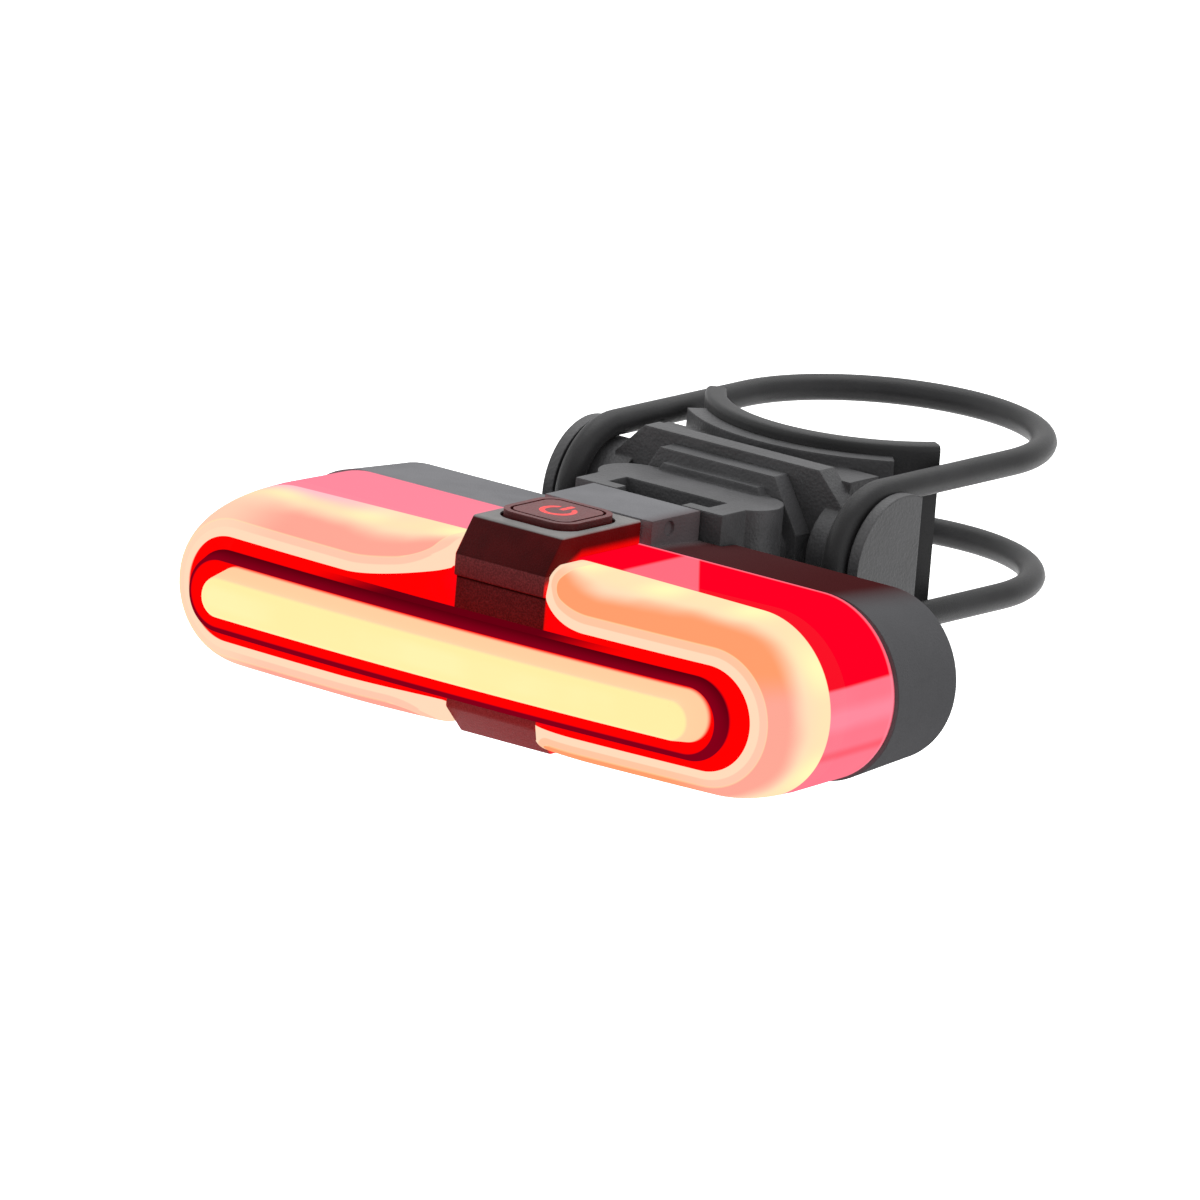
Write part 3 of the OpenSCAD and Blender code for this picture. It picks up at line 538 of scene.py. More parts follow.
def lit_ring(name, sizes, colours):
    """Frosted lens: hot spots over its lamps, a warm band, a pale facet round its edge, a red inside, and a
    painted pale rim light on the outer edge at the left end.
    """
    finish = glowing(name, colours.ring, 0.01)
    place = LensPlace(finish, sizes)
    x = place.x
    height = abs(place.level)
    section = finish.stored("section")
    cloud = finish.noise(0.009, 2)
    fine = finish.noise(0.0003)
    section_length = 10.6
    end_facet = 1.8
    corner = 2.2
    from_edge = (1 - section) * section_length
    from_end = abs(x) - sizes.bridge_side / MM
    near_edge = (sizes.facet / MM + corner - from_edge).at_least(0)
    near_end = (end_facet + corner - from_end).at_least(0)
    reach = (near_edge * near_edge + near_end * near_end).root()
    facet = reach.rise(corner - 0.06, corner + 0.06) * 0.6 + reach.rise(corner + 1, corner + 1.2) * 0.4
    line = reach.band(corner, 0.1)
    warm = (section + 0.3 * (cloud - 0.5)).rise(0.3, 0.56)
    lamp_places = (6.8, 16.2, 25.6)
    spots = abs(x).rise(28, 31.5) * height.band(4.6, 3) * section.band(0.18, 0.24)
    for lamp in lamp_places:
        spots = spots + abs(x).band(lamp, 3.4) * section.band(0.16, 0.24) * height.rise(3.5, 6)
    around = x.rise(22, 29) * place.level.rise(5, 2) + x.rise(6, -6)
    shadow = finish.mix(around.at_most(1), colours.ring_shadow, colours.flush)
    deep = finish.mix(x.rise(-21, -29) * 0.75, shadow, colours.ring)
    cream = finish.mix(0.45, colours.ring, colours.hot)
    outer = finish.mix(section.rise(0.5, 0.2), colours.ring, cream)
    body = finish.mix(warm, outer, deep)
    lit = finish.mix(spots.at_most(1) * 0.85, body, tinted(colours.hot, 1.15))
    edged = finish.mix(facet, lit, colours.ring)
    lined = finish.mix(line * 0.35, edged, colours.hot)
    # Painted rim light: a pale blush on the outer edge at the left end.
    rim = finish.mix(section.rise(0.3, 0.1) * x.rise(-10, -24), lined, colours.blush)
    wrap = abs(x) * (sizes.wall_wrap / sizes.spine_half)
    ahead = (SEAM_BACK - sizes.side_depth) / MM - finish.axes()[1]
    covered = (ahead - wrap).rise(0.06, -0.06)
    walled = finish.mix(covered, rim, wall_tone(finish, sizes, colours))
    finish.give(emission_color=finish.mix(section.rise(1, 1.015), walled, colours.red))
    return finish.grained(fine, 0.3, 0.2, 0.00001)


def lit_strip(name, sizes, colours):
    """Frosted strip, yellow on its face, paler on its walls and red at its foot."""
    finish = glowing(name, colours.strip, 0.03, 0.1)
    place = LensPlace(finish, sizes, sizes.strip_short)
    foot = sizes.seat_depth / MM
    top = foot + sizes.strip_rise / MM
    cloud = finish.noise(0.012, 2)
    fine = finish.noise(0.00025)
    middle = 1 - place.across.rise(0.5, 1.6)
    front = finish.mix(0.6 * cloud.rise(0.4, 0.7) * middle, colours.strip, colours.hot)
    face = finish.mix(place.depth.rise(top - 0.45, top - 0.12), colours.strip_side, front)
    low = place.depth.rise(foot + 2.4, foot + 1.7)
    finish.give(emission_color=finish.mix(low, face, colours.red))
    return finish.grained(fine, 0.32, 0.2, 0.00001)


def lit_seat(name, colours):
    """Clear red seat, flooded with light, a little deeper beside the bridge."""
    finish = glowing(name, colours.red, 0.02)
    cloud = finish.noise(0.004, 3)
    near_bridge = abs(finish.axes()[0]).rise(9, 5.4) * cloud.rise(0.35, 0.65)
    finish.give(emission_color=finish.mix(near_bridge * 0.35, colours.red, colours.crimson))
    finish.give(roughness=0.25 + 0.15 * cloud)
    return finish.material


def lit_mark(name, colours):
    """Red mark that glows a little unevenly."""
    finish = glowing(name, colours.red, 0.5, 0.5)
    cloud = finish.noise(0.0012, 3)
    finish.give(emission_color=finish.tones(cloud.patches(), colours.red, 0.45, 0.9))
    finish.give(roughness=0.35 + 0.2 * cloud)
    return finish.material


def bare_metal(name, base, rough):
    """Turned metal with fine marks from the tool."""
    finish = Finish(name, metallic=1)
    turned = finish.noise(0.00012, 3)
    cloud = finish.noise(0.002, 2)
    finish.give(base_color=finish.tones(cloud, base, 0.8, 1.1))
    return finish.grained(turned, rough, 0.2, 0.000006)


def coated(name, base, rough, spread, grain):
    """A plain coating whose tone and gloss vary a little, for the pieces inside."""
    finish = Finish(name, specular_ior_level=0.45)
    cloud = finish.noise(grain * 12, 3)
    fine = finish.noise(grain)
    finish.give(base_color=finish.tones(cloud.patches(), base, 1 - spread, 1 + spread))
    return finish.grained(fine, rough, 0.15, grain / 10)


def dress(material, *nodes):
    """Gives solids a finish in place of the one that they came with."""
    for name in nodes:
        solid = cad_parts[name]
        for slot in solid.material_slots:
            slot.material = material


def rounded(corners, steps=4):
    """Points along a chain of corners, each given as (u, v, rounding)."""
    points = []
    last = len(corners) - 1
    for index, (u, v, radius) in enumerate(corners):
        corner = Vector((u, v))
        if radius == 0 or index in (0, last):
            points.append(corner)
            continue
        before = Vector(corners[index - 1][:2]) - corner
        after = Vector(corners[index + 1][:2]) - corner
        start = corner + before.normalized() * min(radius, before.length / 2)
        end = corner + after.normalized() * min(radius, after.length / 2)
        for step in range(steps + 1):
            part = step / steps
            points.append(start * (1 - part) ** 2 + corner * 2 * part * (1 - part) + end * part ** 2)
    return points


def begin_chain(name, points, closed, shares=()):
    """A chain of edges through the points, left in edit mode with all of it selected.

    Shares are stored at the points, for a finish that follows the section."""
    bpy.ops.object.select_all(action="DESELECT")
    bpy.ops.mesh.primitive_circle_add(vertices=len(points), radius=MM)
    piece = bpy.context.object
    piece.name = name
    piece.data.name = name
    for vertex, point in zip(piece.data.vertices, points):
        vertex.co = point
    if shares:
        section = piece.data.attributes.new("section", "FLOAT", "POINT")
        section.data.foreach_set("value", shares)
    bpy.ops.object.mode_set(mode="EDIT")
    bpy.ops.mesh.select_mode(type="EDGE")
    bpy.ops.mesh.select_all(action="SELECT")
    if not closed:
        chain = bmesh.from_edit_mesh(piece.data)
        chain.verts.ensure_lookup_table()
        gap = chain.edges.get((chain.verts[0], chain.verts[-1]))
        chain.edges.remove(gap)
        bmesh.update_edit_mesh(piece.data)
    return piece


def spin(angle, centre, axis, steps):
    """Spins the selected edges round an axis by the right-hand rule."""
    bpy.ops.mesh.spin(steps=steps, angle=-angle, center=centre, axis=axis)


def push(offset):
    """Draws the selected edges out along a straight line."""
    bpy.ops.mesh.extrude_region_move(TRANSFORM_OT_translate={"value": offset})


def end_piece(piece, body, material, slot, *nodes):
    """Closes the seams of a piece that is in edit mode, and gives it its finish and its body."""
    bpy.ops.mesh.select_all(action="SELECT")
    bpy.ops.mesh.remove_doubles(threshold=MM / 1000)
    bpy.ops.mesh.normals_make_consistent(inside=False)
    bpy.ops.object.mode_set(mode="OBJECT")
    bpy.ops.object.shade_smooth_by_angle(angle=math.radians(32))
    piece.data.materials.append(material)
    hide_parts(*nodes)
    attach(piece, body)


def bow_frame(sizes, shorter=0):
    """Centre of the bow, half its angle, and the directions to its right and left end."""
    centre = Vector((0, SEAM_BACK + sizes.bow_radius - sizes.side_depth, CENTRE_HEIGHT))
    half = (sizes.spine_half - shorter) / sizes.bow_radius
    right = Vector((math.sin(half), -math.cos(half), 0))
    left = Vector((-right.x, right.y, 0))
    return centre, half, right, left


def sweep_round(name, sizes, profile, closed, shorter=0):
    """Sweeps a profile of (distance from the spine, depth) once round the bowed spine, or a shorter one."""
    centre, half, right, left = bow_frame(sizes, shorter)
    points = [centre + right * (sizes.bow_radius + v) + UP * u for u, v in profile]
    piece = begin_chain(name, points, closed)
    spin(-math.pi, centre, right, END_STEPS)
    spin(-2 * half, centre, UP, BOW_STEPS)
    spin(-math.pi, centre, left, END_STEPS)
    spin(2 * half, centre, UP, BOW_STEPS)
    return piece


def ring_inside(sizes, depth):
    """Distance of the lit ring's flared inside from the spine, at a depth."""
    return sizes.ring_inner + sizes.ring_flare * (1 - depth / sizes.ring_depth)


def ring_profile(sizes):
    """Section of the lit ring: crowned outside, a fine step, a pale facet and a flared inside.

    Each point comes with its share of the way from the outer foot to the inner edge, and more past it."""
    top = math.asin(sizes.facet_depth / sizes.ring_crown)
    width = (sizes.ring_outer - sizes.facet_outer) / (1 - math.cos(top))
    crown_steps = 20
    facet_steps = 8
    facet_share = 0.77
    past_step = 0.001
    past_edge = 1.02
    step = 0.00008
    points = []
    for index in range(crown_steps + 1):
        turn = top * index / crown_steps
        place = Vector((sizes.ring_outer - width * (1 - math.cos(turn)), sizes.ring_crown * math.sin(turn)))
        points.append((place, facet_share * index / crown_steps))
    begin = Vector((sizes.facet_outer - step, sizes.facet_depth - step))
    end = Vector((sizes.ring_inner, sizes.ring_depth))
    for index in range(facet_steps + 1):
        part = index / facet_steps
        points.append((begin.lerp(end, part), facet_share + past_step + (1 - facet_share) * part))
    for part in (0.06, 0.5, 1):
        depth = sizes.ring_depth * (1 - part)
        points.append((Vector((ring_inside(sizes, depth), depth)), past_edge + 0.1 * part))
    return points


class REARLIGHT_OT_lit_rings(bpy.types.Operator):
    """Model the two lit lenses and their rounded ends beside the bridge"""

    bl_idname = "rearlight.lit_rings"
    bl_label = "Lit Rings"

    def execute(self, context):
        sizes = context.scene.rear_light_head
        material = lit_ring("lit_ring_lens", sizes, context.scene.rear_light_colours)
        for side, node in ((1, "ring_lens_right"), (-1, "ring_lens_left")):
            self.pod(sizes, side, node, material)
        return {"FINISHED"}

    def pod(self, sizes, side, node, material):
        """One lens: swept from the bridge round the end and back, then eased back at its ends."""
        centre, half, right, left = bow_frame(sizes)
        start = sizes.bridge_side / sizes.bow_radius
        first = Vector((side * math.sin(start), -math.cos(start), 0))
        end = right if side > 0 else left
        along_steps = 72
        round_steps = 48
        profile = ring_profile(sizes)
        points = [centre + first * (sizes.bow_radius + v) + UP * u for (u, v), share in profile]
        piece = begin_chain(node + "_glow", points, True, [share for point, share in profile])
        spin(side * (half - start), centre, UP, along_steps)
        spin(-side * math.pi, centre, end, round_steps)
        spin(-side * (half - start), centre, UP, along_steps)
        self.ease_back(piece, sizes, centre)
        self.close_ends(piece)
        end_piece(piece, "head", material, "lit_ring", node)

    def ease_back(self, piece, sizes, centre):
        """Lets the lens fall back towards the bridge and rounds its end there."""
        mesh = bmesh.from_edit_mesh(piece.data)
        core_inset = 0.0009
        core = Vector((sizes.ring_outer - core_inset, MM))
        ease_power = 1.7
        end_shrink = 0.12
        for vertex in mesh.verts:
            away = abs(vertex.co.x) - sizes.bridge_side
            if away > sizes.ring_slope:
                continue
            part = min(1 - away / sizes.ring_slope, 1)
            ease = part ** ease_power
            arm = Vector((vertex.co.x - centre.x, vertex.co.y - centre.y, 0))
            level = vertex.co.z - centre.z
            depth = arm.length - sizes.bow_radius
            beyond = abs(level) - ring_inside(sizes, depth)
            depth *= 1 - ease * sizes.ring_fall / sizes.ring_depth
            inside = ring_inside(sizes, depth)
            room = sizes.ring_outer - inside
            height = min(inside + beyond, sizes.ring_outer) if room > 0 else abs(level)
            place = Vector((height, depth))
            if away < sizes.end_round:
                turn = max(1 - away / sizes.end_round, 0)
                shrink = 1 - end_shrink * (1 - math.sqrt(max(1 - turn * turn, 0)))
                place = core + (place - core) * shrink
            spot = centre + arm.normalized() * (sizes.bow_radius + place.y)
            vertex.co.y = spot.y
            vertex.co.z = centre.z + math.copysign(place.x, level)
        bmesh.update_edit_mesh(piece.data)

    def close_ends(self, piece):
        """Fills the two open ends beside the bridge."""
        bpy.ops.mesh.select_all(action="SELECT")
        bpy.ops.mesh.remove_doubles(threshold=MM / 1000)
        for above in (True, False):
            mesh = bmesh.from_edit_mesh(piece.data)
            for edge in mesh.edges:
                edge.select_set(False)
            for edge in mesh.edges:
                height = (edge.verts[0].co.z + edge.verts[1].co.z) / 2
                if len(edge.link_faces) == 1 and (height > CENTRE_HEIGHT) == above:
                    edge.select_set(True)
            bmesh.update_edit_mesh(piece.data)
            bpy.ops.mesh.edge_face_add()


class REARLIGHT_OT_strip(bpy.types.Operator):
    """Model the lit strip, the dark frame around it and their red seat"""

    bl_idname = "rearlight.strip"
    bl_label = "Strip and Frame"

    def execute(self, context):
        sizes = context.scene.rear_light_head
        colours = context.scene.rear_light_colours
        self.strip(sizes, lit_strip("lit_strip_lens", sizes, colours))
        self.frame(sizes, frame_plastic("red_frame", sizes, colours))
        self.recess(sizes, lit_seat("lit_red_seat", colours))
        return {"FINISHED"}

    def strip(self, sizes, material):
        """The raised strip: a straight wall, then a slope to its narrower face."""
        foot = sizes.seat_depth
        wall = foot + sizes.strip_wall
        top = foot + sizes.strip_rise
        wall_round = 0.0003
        face_round = 0.0006
        corners = [(0, foot, 0), (sizes.strip_foot, foot, 0), (sizes.strip_foot, wall, wall_round),
                   (sizes.strip_face, top, face_round), (0, top, 0)]
        piece = sweep_round("strip_glow", sizes, rounded(corners), False, sizes.strip_short)
        end_piece(piece, "head", material, "lit_strip", "strip_lens")

    def frame(self, sizes, material):
        """The dark frame: a wall, a lip that stands out over it and a slope up to the inner edge."""
        foot = sizes.seat_depth
        lip = foot + sizes.frame_lip
        top = foot + sizes.frame_rise
        inner = sizes.frame_inner
        step = 0.0002
        crest = 0.0004
        edge_drop = 0.0003
        lip_round = 0.00012
        crest_round = 0.00025
        edge_round = 0.00015
        corners = [(inner, foot, 0), (sizes.frame_foot, foot, 0), (sizes.frame_foot, lip - step, 0),
                   (sizes.frame_outer, lip, lip_round), (inner + crest, top, crest_round),
                   (inner, top - edge_drop, edge_round), (inner, foot + step, 0)]
        piece = sweep_round("strip_frame", sizes, rounded(corners), True, sizes.frame_short)
        end_piece(piece, "head", material, "dark_red", "front_frame")

    def recess(self, sizes, material):
        """The red seat: a spine under the strip and a floor that shows between the frame and the ring."""
        clearance = 0.00002
        rim_inset = 0.0001
        rim_height = 0.0003
        slope_foot = 0.0011
        seat = sizes.seat_depth - clearance
        rim = sizes.frame_foot - rim_inset
        spine = sizes.spine_reach
        deep = sizes.floor_depth
        under = deep - MM
        profile = [(0, seat), (rim, seat), (rim, seat - rim_height), (spine, seat - slope_foot),
                   (spine, deep), (sizes.floor_reach, deep), (sizes.floor_reach, under), (0, under)]
        piece = sweep_round("lit_recess", sizes, profile, False, sizes.frame_short)
        end_piece(piece, "head", material, "lit_red", "red_seat")


class REARLIGHT_OT_side_wall(bpy.types.Operator):
    """Finish the clear red side wall"""

    bl_idname = "rearlight.side_wall"
    bl_label = "Side Wall"

    def execute(self, context):
        scene = context.scene
        dress(clear_red("clear_red_wall", scene.rear_light_head, scene.rear_light_colours), "side_lens")
        return {"FINISHED"}


class REARLIGHT_OT_bridge(bpy.types.Operator):
    """Model the bridge with its rounded edges, and finish the button and its lit mark"""

    bl_idname = "rearlight.bridge"
    bl_label = "Bridge and Button"

    def execute(self, context):
        sizes = context.scene.rear_light_bridge
        colours = context.scene.rear_light_colours
        piece = self.shell(sizes)
        self.pocket(piece, sizes)
        wall_depth = context.scene.rear_light_head.side_depth
        material = bridge_plastic("bridge_plastic", sizes, wall_depth, colours)
        end_piece(piece, "head", material, "dark_red", "centre_bridge")
        dress(button_plastic("button_plastic", colours), "power_button")
        dress(lit_mark("lit_mark", colours), "button_mark")
        return {"FINISHED"}

    def shell(self, sizes):
        """The bridge's side view drawn across the head, with all its edges rounded."""
        plate = sizes.front - sizes.undercut
        depth = 0.0019
        inside = sizes.sole_front - depth
        head = sizes.head_radius
        outline = [(sizes.back, head), (sizes.back, sizes.deck), (sizes.deck_front, sizes.deck),
                   (sizes.front, sizes.brow), (sizes.front, sizes.band_foot), (plate, sizes.band_foot),
                   (plate, sizes.chin), (sizes.sole_front, sizes.sole), (sizes.back, sizes.sole),
                   (sizes.back, -head), (inside, -head), (inside, head)]
        points = []
        for ahead, height in outline:
            points.append(Vector((-sizes.half, SEAM_BACK - ahead, CENTRE_HEIGHT + height)))
        piece = begin_chain("bridge_shell", points, True)
        bpy.ops.mesh.edge_face_add()
        push((2 * sizes.half, 0, 0))
        bpy.ops.mesh.select_all(action="SELECT")
        bpy.ops.mesh.bevel(offset=sizes.rounding, segments=4, affect="EDGES", clamp_overlap=True)
        bpy.ops.object.mode_set(mode="OBJECT")
        return piece

    def pocket(self, piece, sizes):
        """Cuts the button's pocket into the deck and leaves the piece in edit mode."""
        straight = sizes.pocket_width / 2 - sizes.pocket_round
        floor = CENTRE_HEIGHT + sizes.deck - sizes.pocket_depth
        place = Vector((0, SEAM_BACK - sizes.pocket_place, floor))
        quarter = math.pi / 2
        arc_points = 8
        points = []
        for corner in range(4):
            middle = quarter * (corner + 0.5)
            x = math.copysign(straight, math.cos(middle))
            y = math.copysign(straight, math.sin(middle))
            for index in range(arc_points):
                turn = quarter * (corner + index / (arc_points - 1))
                arc = sizes.pocket_round * Vector((math.cos(turn), math.sin(turn), 0))
                points.append(place + Vector((x, y, 0)) + arc)
        cutter = begin_chain("pocket_cutter", points, True)
        bpy.ops.mesh.edge_face_add()
        push((0, 0, 3 * sizes.pocket_depth))
        bpy.ops.mesh.select_all(action="SELECT")
        bpy.ops.mesh.normals_make_consistent(inside=False)
        bpy.ops.object.mode_set(mode="OBJECT")
        cut = piece.modifiers.new("pocket", "BOOLEAN")
        cut.object = cutter
        bpy.ops.object.select_all(action="DESELECT")
        bpy.context.view_layer.objects.active = piece
        piece.select_set(True)
        bpy.ops.object.modifier_apply(modifier="pocket")
        bpy.data.objects.remove(cutter)
        bpy.ops.object.mode_set(mode="EDIT")


class REARLIGHT_OT_shells(bpy.types.Operator):
    """Finish the back shell, the slide and the bracket"""

    bl_idname = "rearlight.shells"
    bl_label = "Shells and Bracket"

    def execute(self, context):
        colours = context.scene.rear_light_colours
        base = colours.plastic
        dress(housing_plastic("housing_plastic", context.scene.rear_light_head, colours), "rear_housing")
        dress(matt_plastic("bracket_plastic", tinted(base, 0.55), 0.00026), "bracket_body", "slide_tongue")
        dress(matt_plastic("base_plastic", tinted(base, 0.45), 0.0003), "bracket_base")
        dress(matt_plastic("catch_plastic", tinted(base, 0.5), 0.0002), "release_tab")
        return {"FINISHED"}


class REARLIGHT_OT_rubber(bpy.types.Operator):
    """Model the rubber ring and the grooved pad, and finish the cover of the socket"""

    bl_idname = "rearlight.rubber"
    bl_label = "Rubber"

    def execute(self, context):
        sizes = context.scene.rear_light_rubber
        base = context.scene.rear_light_colours.rubber
        self.band(sizes, soft_rubber("ring_rubber", base))
        self.pad(sizes, soft_rubber("pad_rubber", tinted(base, 0.8)))
        dress(soft_rubber("cover_rubber", tinted(base, 0.9)), "port_cover")
        return {"FINISHED"}

    def band(self, sizes, material):
        """A round section with its mould line, drawn over both hooks and round the post twice."""
        reach = sizes.band_reach
        back = sizes.hook_distance
        height = sizes.strand_height
        corners = 24
        post_steps = 48
        hook_steps = 32
        points = []
        for index in range(corners):
            turn = 2 * math.pi * index / corners
            radius = sizes.band_radius
            if index % (corners // 2) == 0:
                radius += sizes.flash
            points.append(Vector((reach + radius * math.cos(turn), -back, height + radius * math.sin(turn))))
        piece = begin_chain("rubber_ring", points, True)
        right_hook = Vector((reach, -back, 0))
        left_hook = Vector((-reach, -back, 0))
        across = Vector((1, 0, 0))
        top = UP * height
        push((0, back, 0))
        spin(math.pi, top, UP, post_steps)
        push((0, -back, 0))
        spin(math.pi, left_hook, across, hook_steps)
        push((0, back, 0))
        spin(-math.pi, -top, UP, post_steps)
        push((0, -back, 0))
        spin(-math.pi, right_hook, across, hook_steps)
        end_piece(piece, "bracket", material, "rubber", "rubber_band")

    def pad(self, sizes, material):
        """A soft-edged section with grooves on the inside, spun part of the way round the post."""
        inner = sizes.pad_inner
        outer = inner + sizes.pad_thickness
        tall = sizes.pad_half_height
        outer_round = 0.0006
        inner_round = 0.0004
        lead = 0.0001
        mouth = 0.0005
        bottom = 0.0002
        groove_round = 0.0001
        corners = [(inner, -tall, 0), (outer, -tall, outer_round), (outer, tall, outer_round),
                   (inner + lead, tall, inner_round)]
        pitch = 2 * tall / (sizes.grooves + 1)
        for index in range(sizes.grooves):
            middle = tall - pitch * (index + 1)
            for offset, depth in ((mouth, 0), (bottom, 1), (-bottom, 1), (-mouth, 0)):
                corners.append((inner + depth * sizes.groove_depth, middle + offset, groove_round))
        profile = rounded(corners)
        half = sizes.pad_angle / 2
        first = Vector((-math.sin(half), -math.cos(half), 0))
        points = [first * u + UP * v for u, v in profile]
        piece = begin_chain("grooved_pad", points, True)
        bpy.ops.mesh.edge_face_add()
        bpy.ops.mesh.duplicate()
        bpy.ops.mesh.delete(type="ONLY_FACE")
        bpy.ops.mesh.select_all(action="SELECT")
        spin(sizes.pad_angle, Vector((0, 0, 0)), UP, END_STEPS)
        bpy.ops.mesh.edge_face_add()
        end_piece(piece, "bracket", material, "rubber", "rubber_pad")


class REARLIGHT_OT_fasteners(bpy.types.Operator):
    """Finish the screws and the catch's pin"""

    bl_idname = "rearlight.fasteners"
    bl_label = "Fasteners"

    def execute(self, context):
        dress(bare_metal("blackened_screw", shade(96, 96, 98), 0.3), "housing_screws", "tongue_screws",
              "base_screws")
        dress(bare_metal("steel_pin", shade(190, 190, 192), 0.25), "tab_pin")
        return {"FINISHED"}


class REARLIGHT_OT_inside(bpy.types.Operator):
    """Finish the pieces inside the head"""

    bl_idname = "rearlight.inside"
    bl_label = "Inside"

    def execute(self, context):
        colours = context.scene.rear_light_colours
        dress(coated("board_lacquer", shade(22, 92, 52), 0.3, 0.25, 0.0002), "circuit_board")
        dress(coated("lamp_phosphor", shade(240, 215, 120), 0.4, 0.1, 0.00015), "ring_leds", "strip_leds")
        dress(coated("switch_shell", shade(150, 150, 154), 0.35, 0.1, 0.0001), "tact_switch")
        dress(coated("cell_wrap", shade(176, 178, 186), 0.25, 0.08, 0.0003), "battery_cell")
        dress(coated("foam_skin", shade(40, 40, 42), 0.8, 0.3, 0.0004), "battery_pad")
        dress(coated("gasket_skin", tinted(colours.pink, 0.8), 0.5, 0.1, 0.0002), "housing_seal")
        dress(coated("boot_skin", shade(34, 34, 35), 0.6, 0.2, 0.0002), "button_seal")
        dress(bare_metal("socket_steel", shade(185, 186, 190), 0.28), "usb_port")
        return {"FINISHED"}


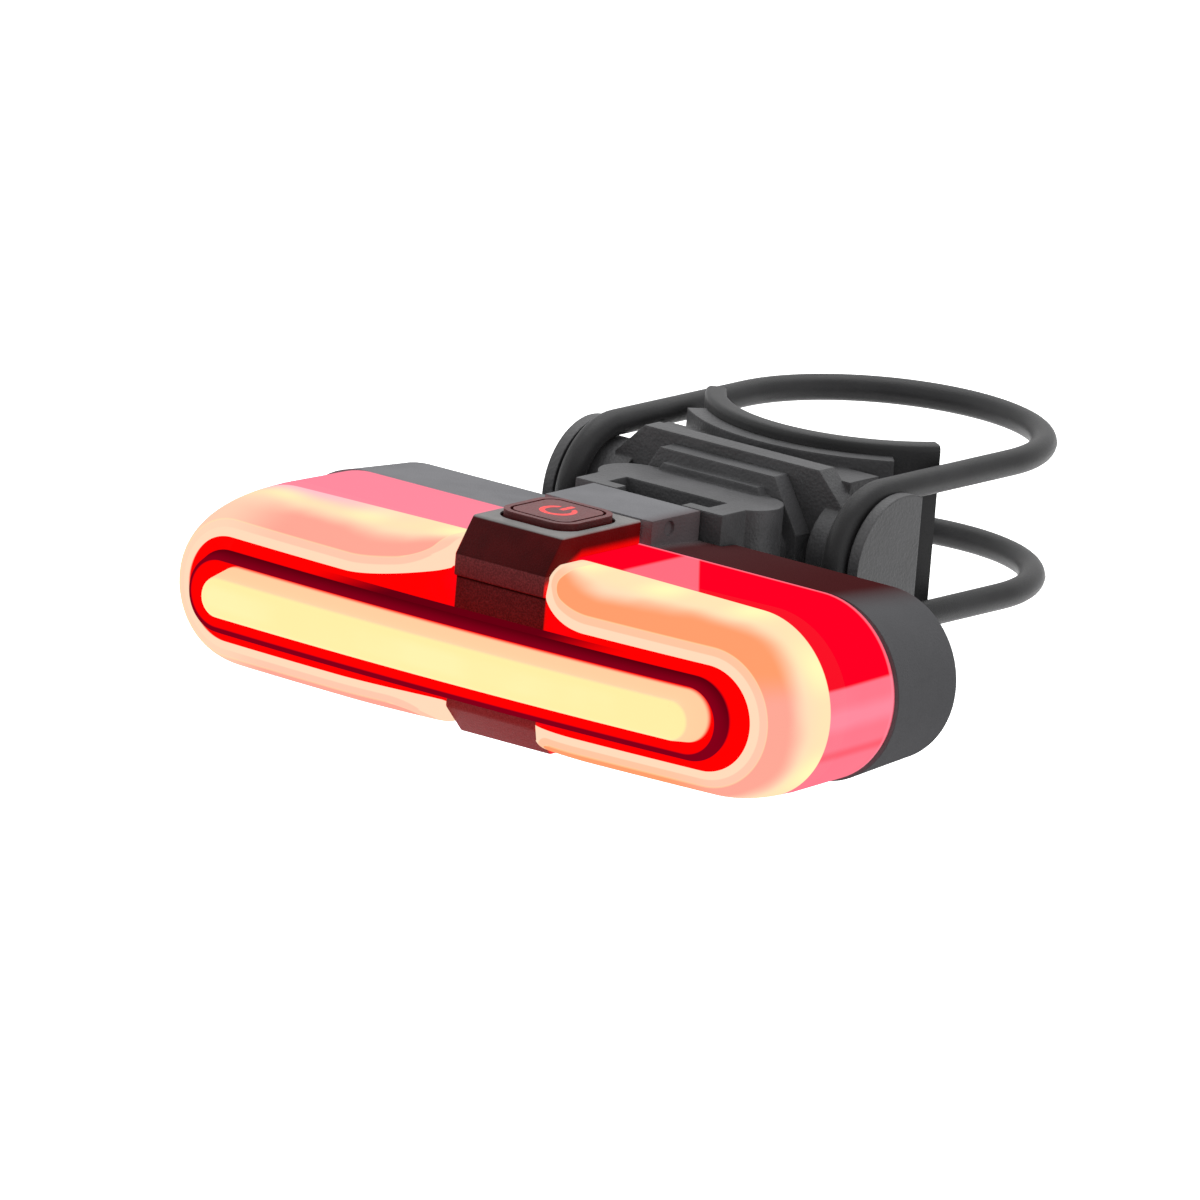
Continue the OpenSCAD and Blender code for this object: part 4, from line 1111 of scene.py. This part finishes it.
class REARLIGHT_OT_stage(bpy.types.Operator):
    """Set the floor, the lamps and the camera"""

    bl_idname = "rearlight.stage"
    bl_label = "Stage"

    def execute(self, context):
        stage = context.scene.rear_light_stage
        context.scene.view_settings.view_transform = "Standard"
        self.floor(stage)
        self.sky(context.scene, stage)
        self.lamp("top_softbox", place=(-0.15, 0.25, 0.9), size=0.9, power=7)
        self.lamp("left_softbox", place=(-0.9, -0.7, 0.5), size=0.8, power=2.2)
        self.lamp("right_softbox", place=(1.0, -0.2, 0.35), size=0.7, power=1.8)
        self.camera(context.scene, stage)
        return {"FINISHED"}

    def seen_rays(self, tree):
        """1 for rays from the camera and for those that gloss or glass sends on."""
        path = tree.nodes.new("ShaderNodeLightPath")
        total = path.outputs["Is Camera Ray"]
        for name in ("Is Glossy Ray", "Is Transmission Ray"):
            more = tree.nodes.new("ShaderNodeMath")
            more.operation = "MAXIMUM"
            tree.links.new(total, more.inputs[0])
            tree.links.new(path.outputs[name], more.inputs[1])
            total = more.outputs[0]
        return total

    def floor(self, stage):
        """A pale floor that looks white and keeps a soft shadow."""
        bpy.ops.object.select_all(action="DESELECT")
        bpy.ops.mesh.primitive_plane_add(size=stage.floor_size, location=(0, 0, stage.floor_drop))
        floor = bpy.context.object
        floor.name = "floor"
        material = bpy.data.materials.new("pale_floor")
        material.use_nodes = True
        tree = material.node_tree
        shader = tree.nodes["Principled BSDF"]
        shader.inputs["Base Color"].default_value = (0.86, 0.86, 0.86, 1)
        shader.inputs["Roughness"].default_value = 0.9
        shader.inputs["Specular IOR Level"].default_value = 0
        shader.inputs["Emission Color"].default_value = (1, 1, 1, 1)
        tree.links.new(self.seen_rays(tree), shader.inputs["Emission Strength"])
        floor.data.materials.append(material)

    def sky(self, scene, stage):
        """Soft light from all around that looks white behind the object."""
        world = bpy.data.worlds.new("studio")
        world.use_nodes = True
        tree = world.node_tree
        background = tree.nodes["Background"]
        background.inputs["Color"].default_value = (1, 1, 1, 1)
        lift = tree.nodes.new("ShaderNodeMapRange")
        lift.inputs["To Min"].default_value = stage.ambient
        lift.inputs["To Max"].default_value = 1
        tree.links.new(self.seen_rays(tree), lift.inputs["Value"])
        tree.links.new(lift.outputs[0], background.inputs["Strength"])
        scene.world = world

    def lamp(self, name, place, size, power):
        """A square soft lamp that points at the light."""
        data = bpy.data.lights.new(name, "AREA")
        data.size = size
        data.energy = power
        lamp = bpy.data.objects.new(name, data)
        lamp.location = place
        aim = Vector((0, SEAM_BACK, CENTRE_HEIGHT)) - lamp.location
        lamp.rotation_euler = aim.to_track_quat("-Z", "Y").to_euler()
        bpy.context.scene.collection.objects.link(lamp)

    def camera(self, scene, stage):
        """A long lens at the front right of the light, leaning a little."""
        turn = stage.azimuth
        rise = stage.elevation
        back = Vector((math.sin(turn) * math.cos(rise), -math.cos(turn) * math.cos(rise), math.sin(rise)))
        level = Vector((math.cos(turn), math.sin(turn), 0))
        upright = back.cross(level)
        lean = stage.roll
        right = level * math.cos(lean) - upright * math.sin(lean)
        up = level * math.sin(lean) + upright * math.cos(lean)
        seam = Vector((0, SEAM_BACK, CENTRE_HEIGHT))
        place = seam + right * stage.shift_right + up * stage.shift_up + back * stage.distance
        data = bpy.data.cameras.new("camera")
        data.lens = stage.focal
        data.sensor_width = 36
        data.clip_end = 20
        camera = bpy.data.objects.new("camera", data)
        camera.matrix_world = Matrix((
            (right.x, up.x, back.x, place.x),
            (right.y, up.y, back.y, place.y),
            (right.z, up.z, back.z, place.z),
            (0, 0, 0, 1)))
        scene.collection.objects.link(camera)
        scene.camera = camera


class REARLIGHT_PT_panel(bpy.types.Panel):
    """Sizes, colours and steps of the rear light"""

    bl_idname = "REARLIGHT_PT_panel"
    bl_label = "Rear Light"
    bl_space_type = "VIEW_3D"
    bl_region_type = "UI"
    bl_category = "Rear Light"

    def draw(self, context):
        for step in STEPS:
            self.layout.operator(step.bl_idname)
        for name in GROUPS:
            group = getattr(context.scene, name)
            box = self.layout.box()
            for entry in group.__annotations__:
                box.prop(group, entry)


GROUPS = {
    "rear_light_head": HeadSizes,
    "rear_light_bridge": BridgeSizes,
    "rear_light_rubber": RubberSizes,
    "rear_light_colours": LightColours,
    "rear_light_stage": StageSettings,
}

STEPS = (
    REARLIGHT_OT_shells,
    REARLIGHT_OT_side_wall,
    REARLIGHT_OT_lit_rings,
    REARLIGHT_OT_strip,
    REARLIGHT_OT_bridge,
    REARLIGHT_OT_rubber,
    REARLIGHT_OT_fasteners,
    REARLIGHT_OT_inside,
    REARLIGHT_OT_stage,
)


def register():
    """Makes the settings, the steps and the panel known to Blender."""
    for group in GROUPS.values():
        bpy.utils.register_class(group)
    for name, group in GROUPS.items():
        setattr(bpy.types.Scene, name, PointerProperty(type=group))
    for step in STEPS:
        bpy.utils.register_class(step)
    bpy.utils.register_class(REARLIGHT_PT_panel)


def unregister():
    """Takes them out again."""
    bpy.utils.unregister_class(REARLIGHT_PT_panel)
    for step in reversed(STEPS):
        bpy.utils.unregister_class(step)
    for name, group in GROUPS.items():
        delattr(bpy.types.Scene, name)
        bpy.utils.unregister_class(group)


def plain(box):
    """A box's two corners as lists of numbers."""
    return [list(corner) for corner in box]


def main():
    """Runs every step."""
    register()
    for step in STEPS:
        area, name = step.bl_idname.split(".")
        getattr(getattr(bpy.ops, area), name)()


if __name__ == "__main__":
    main()
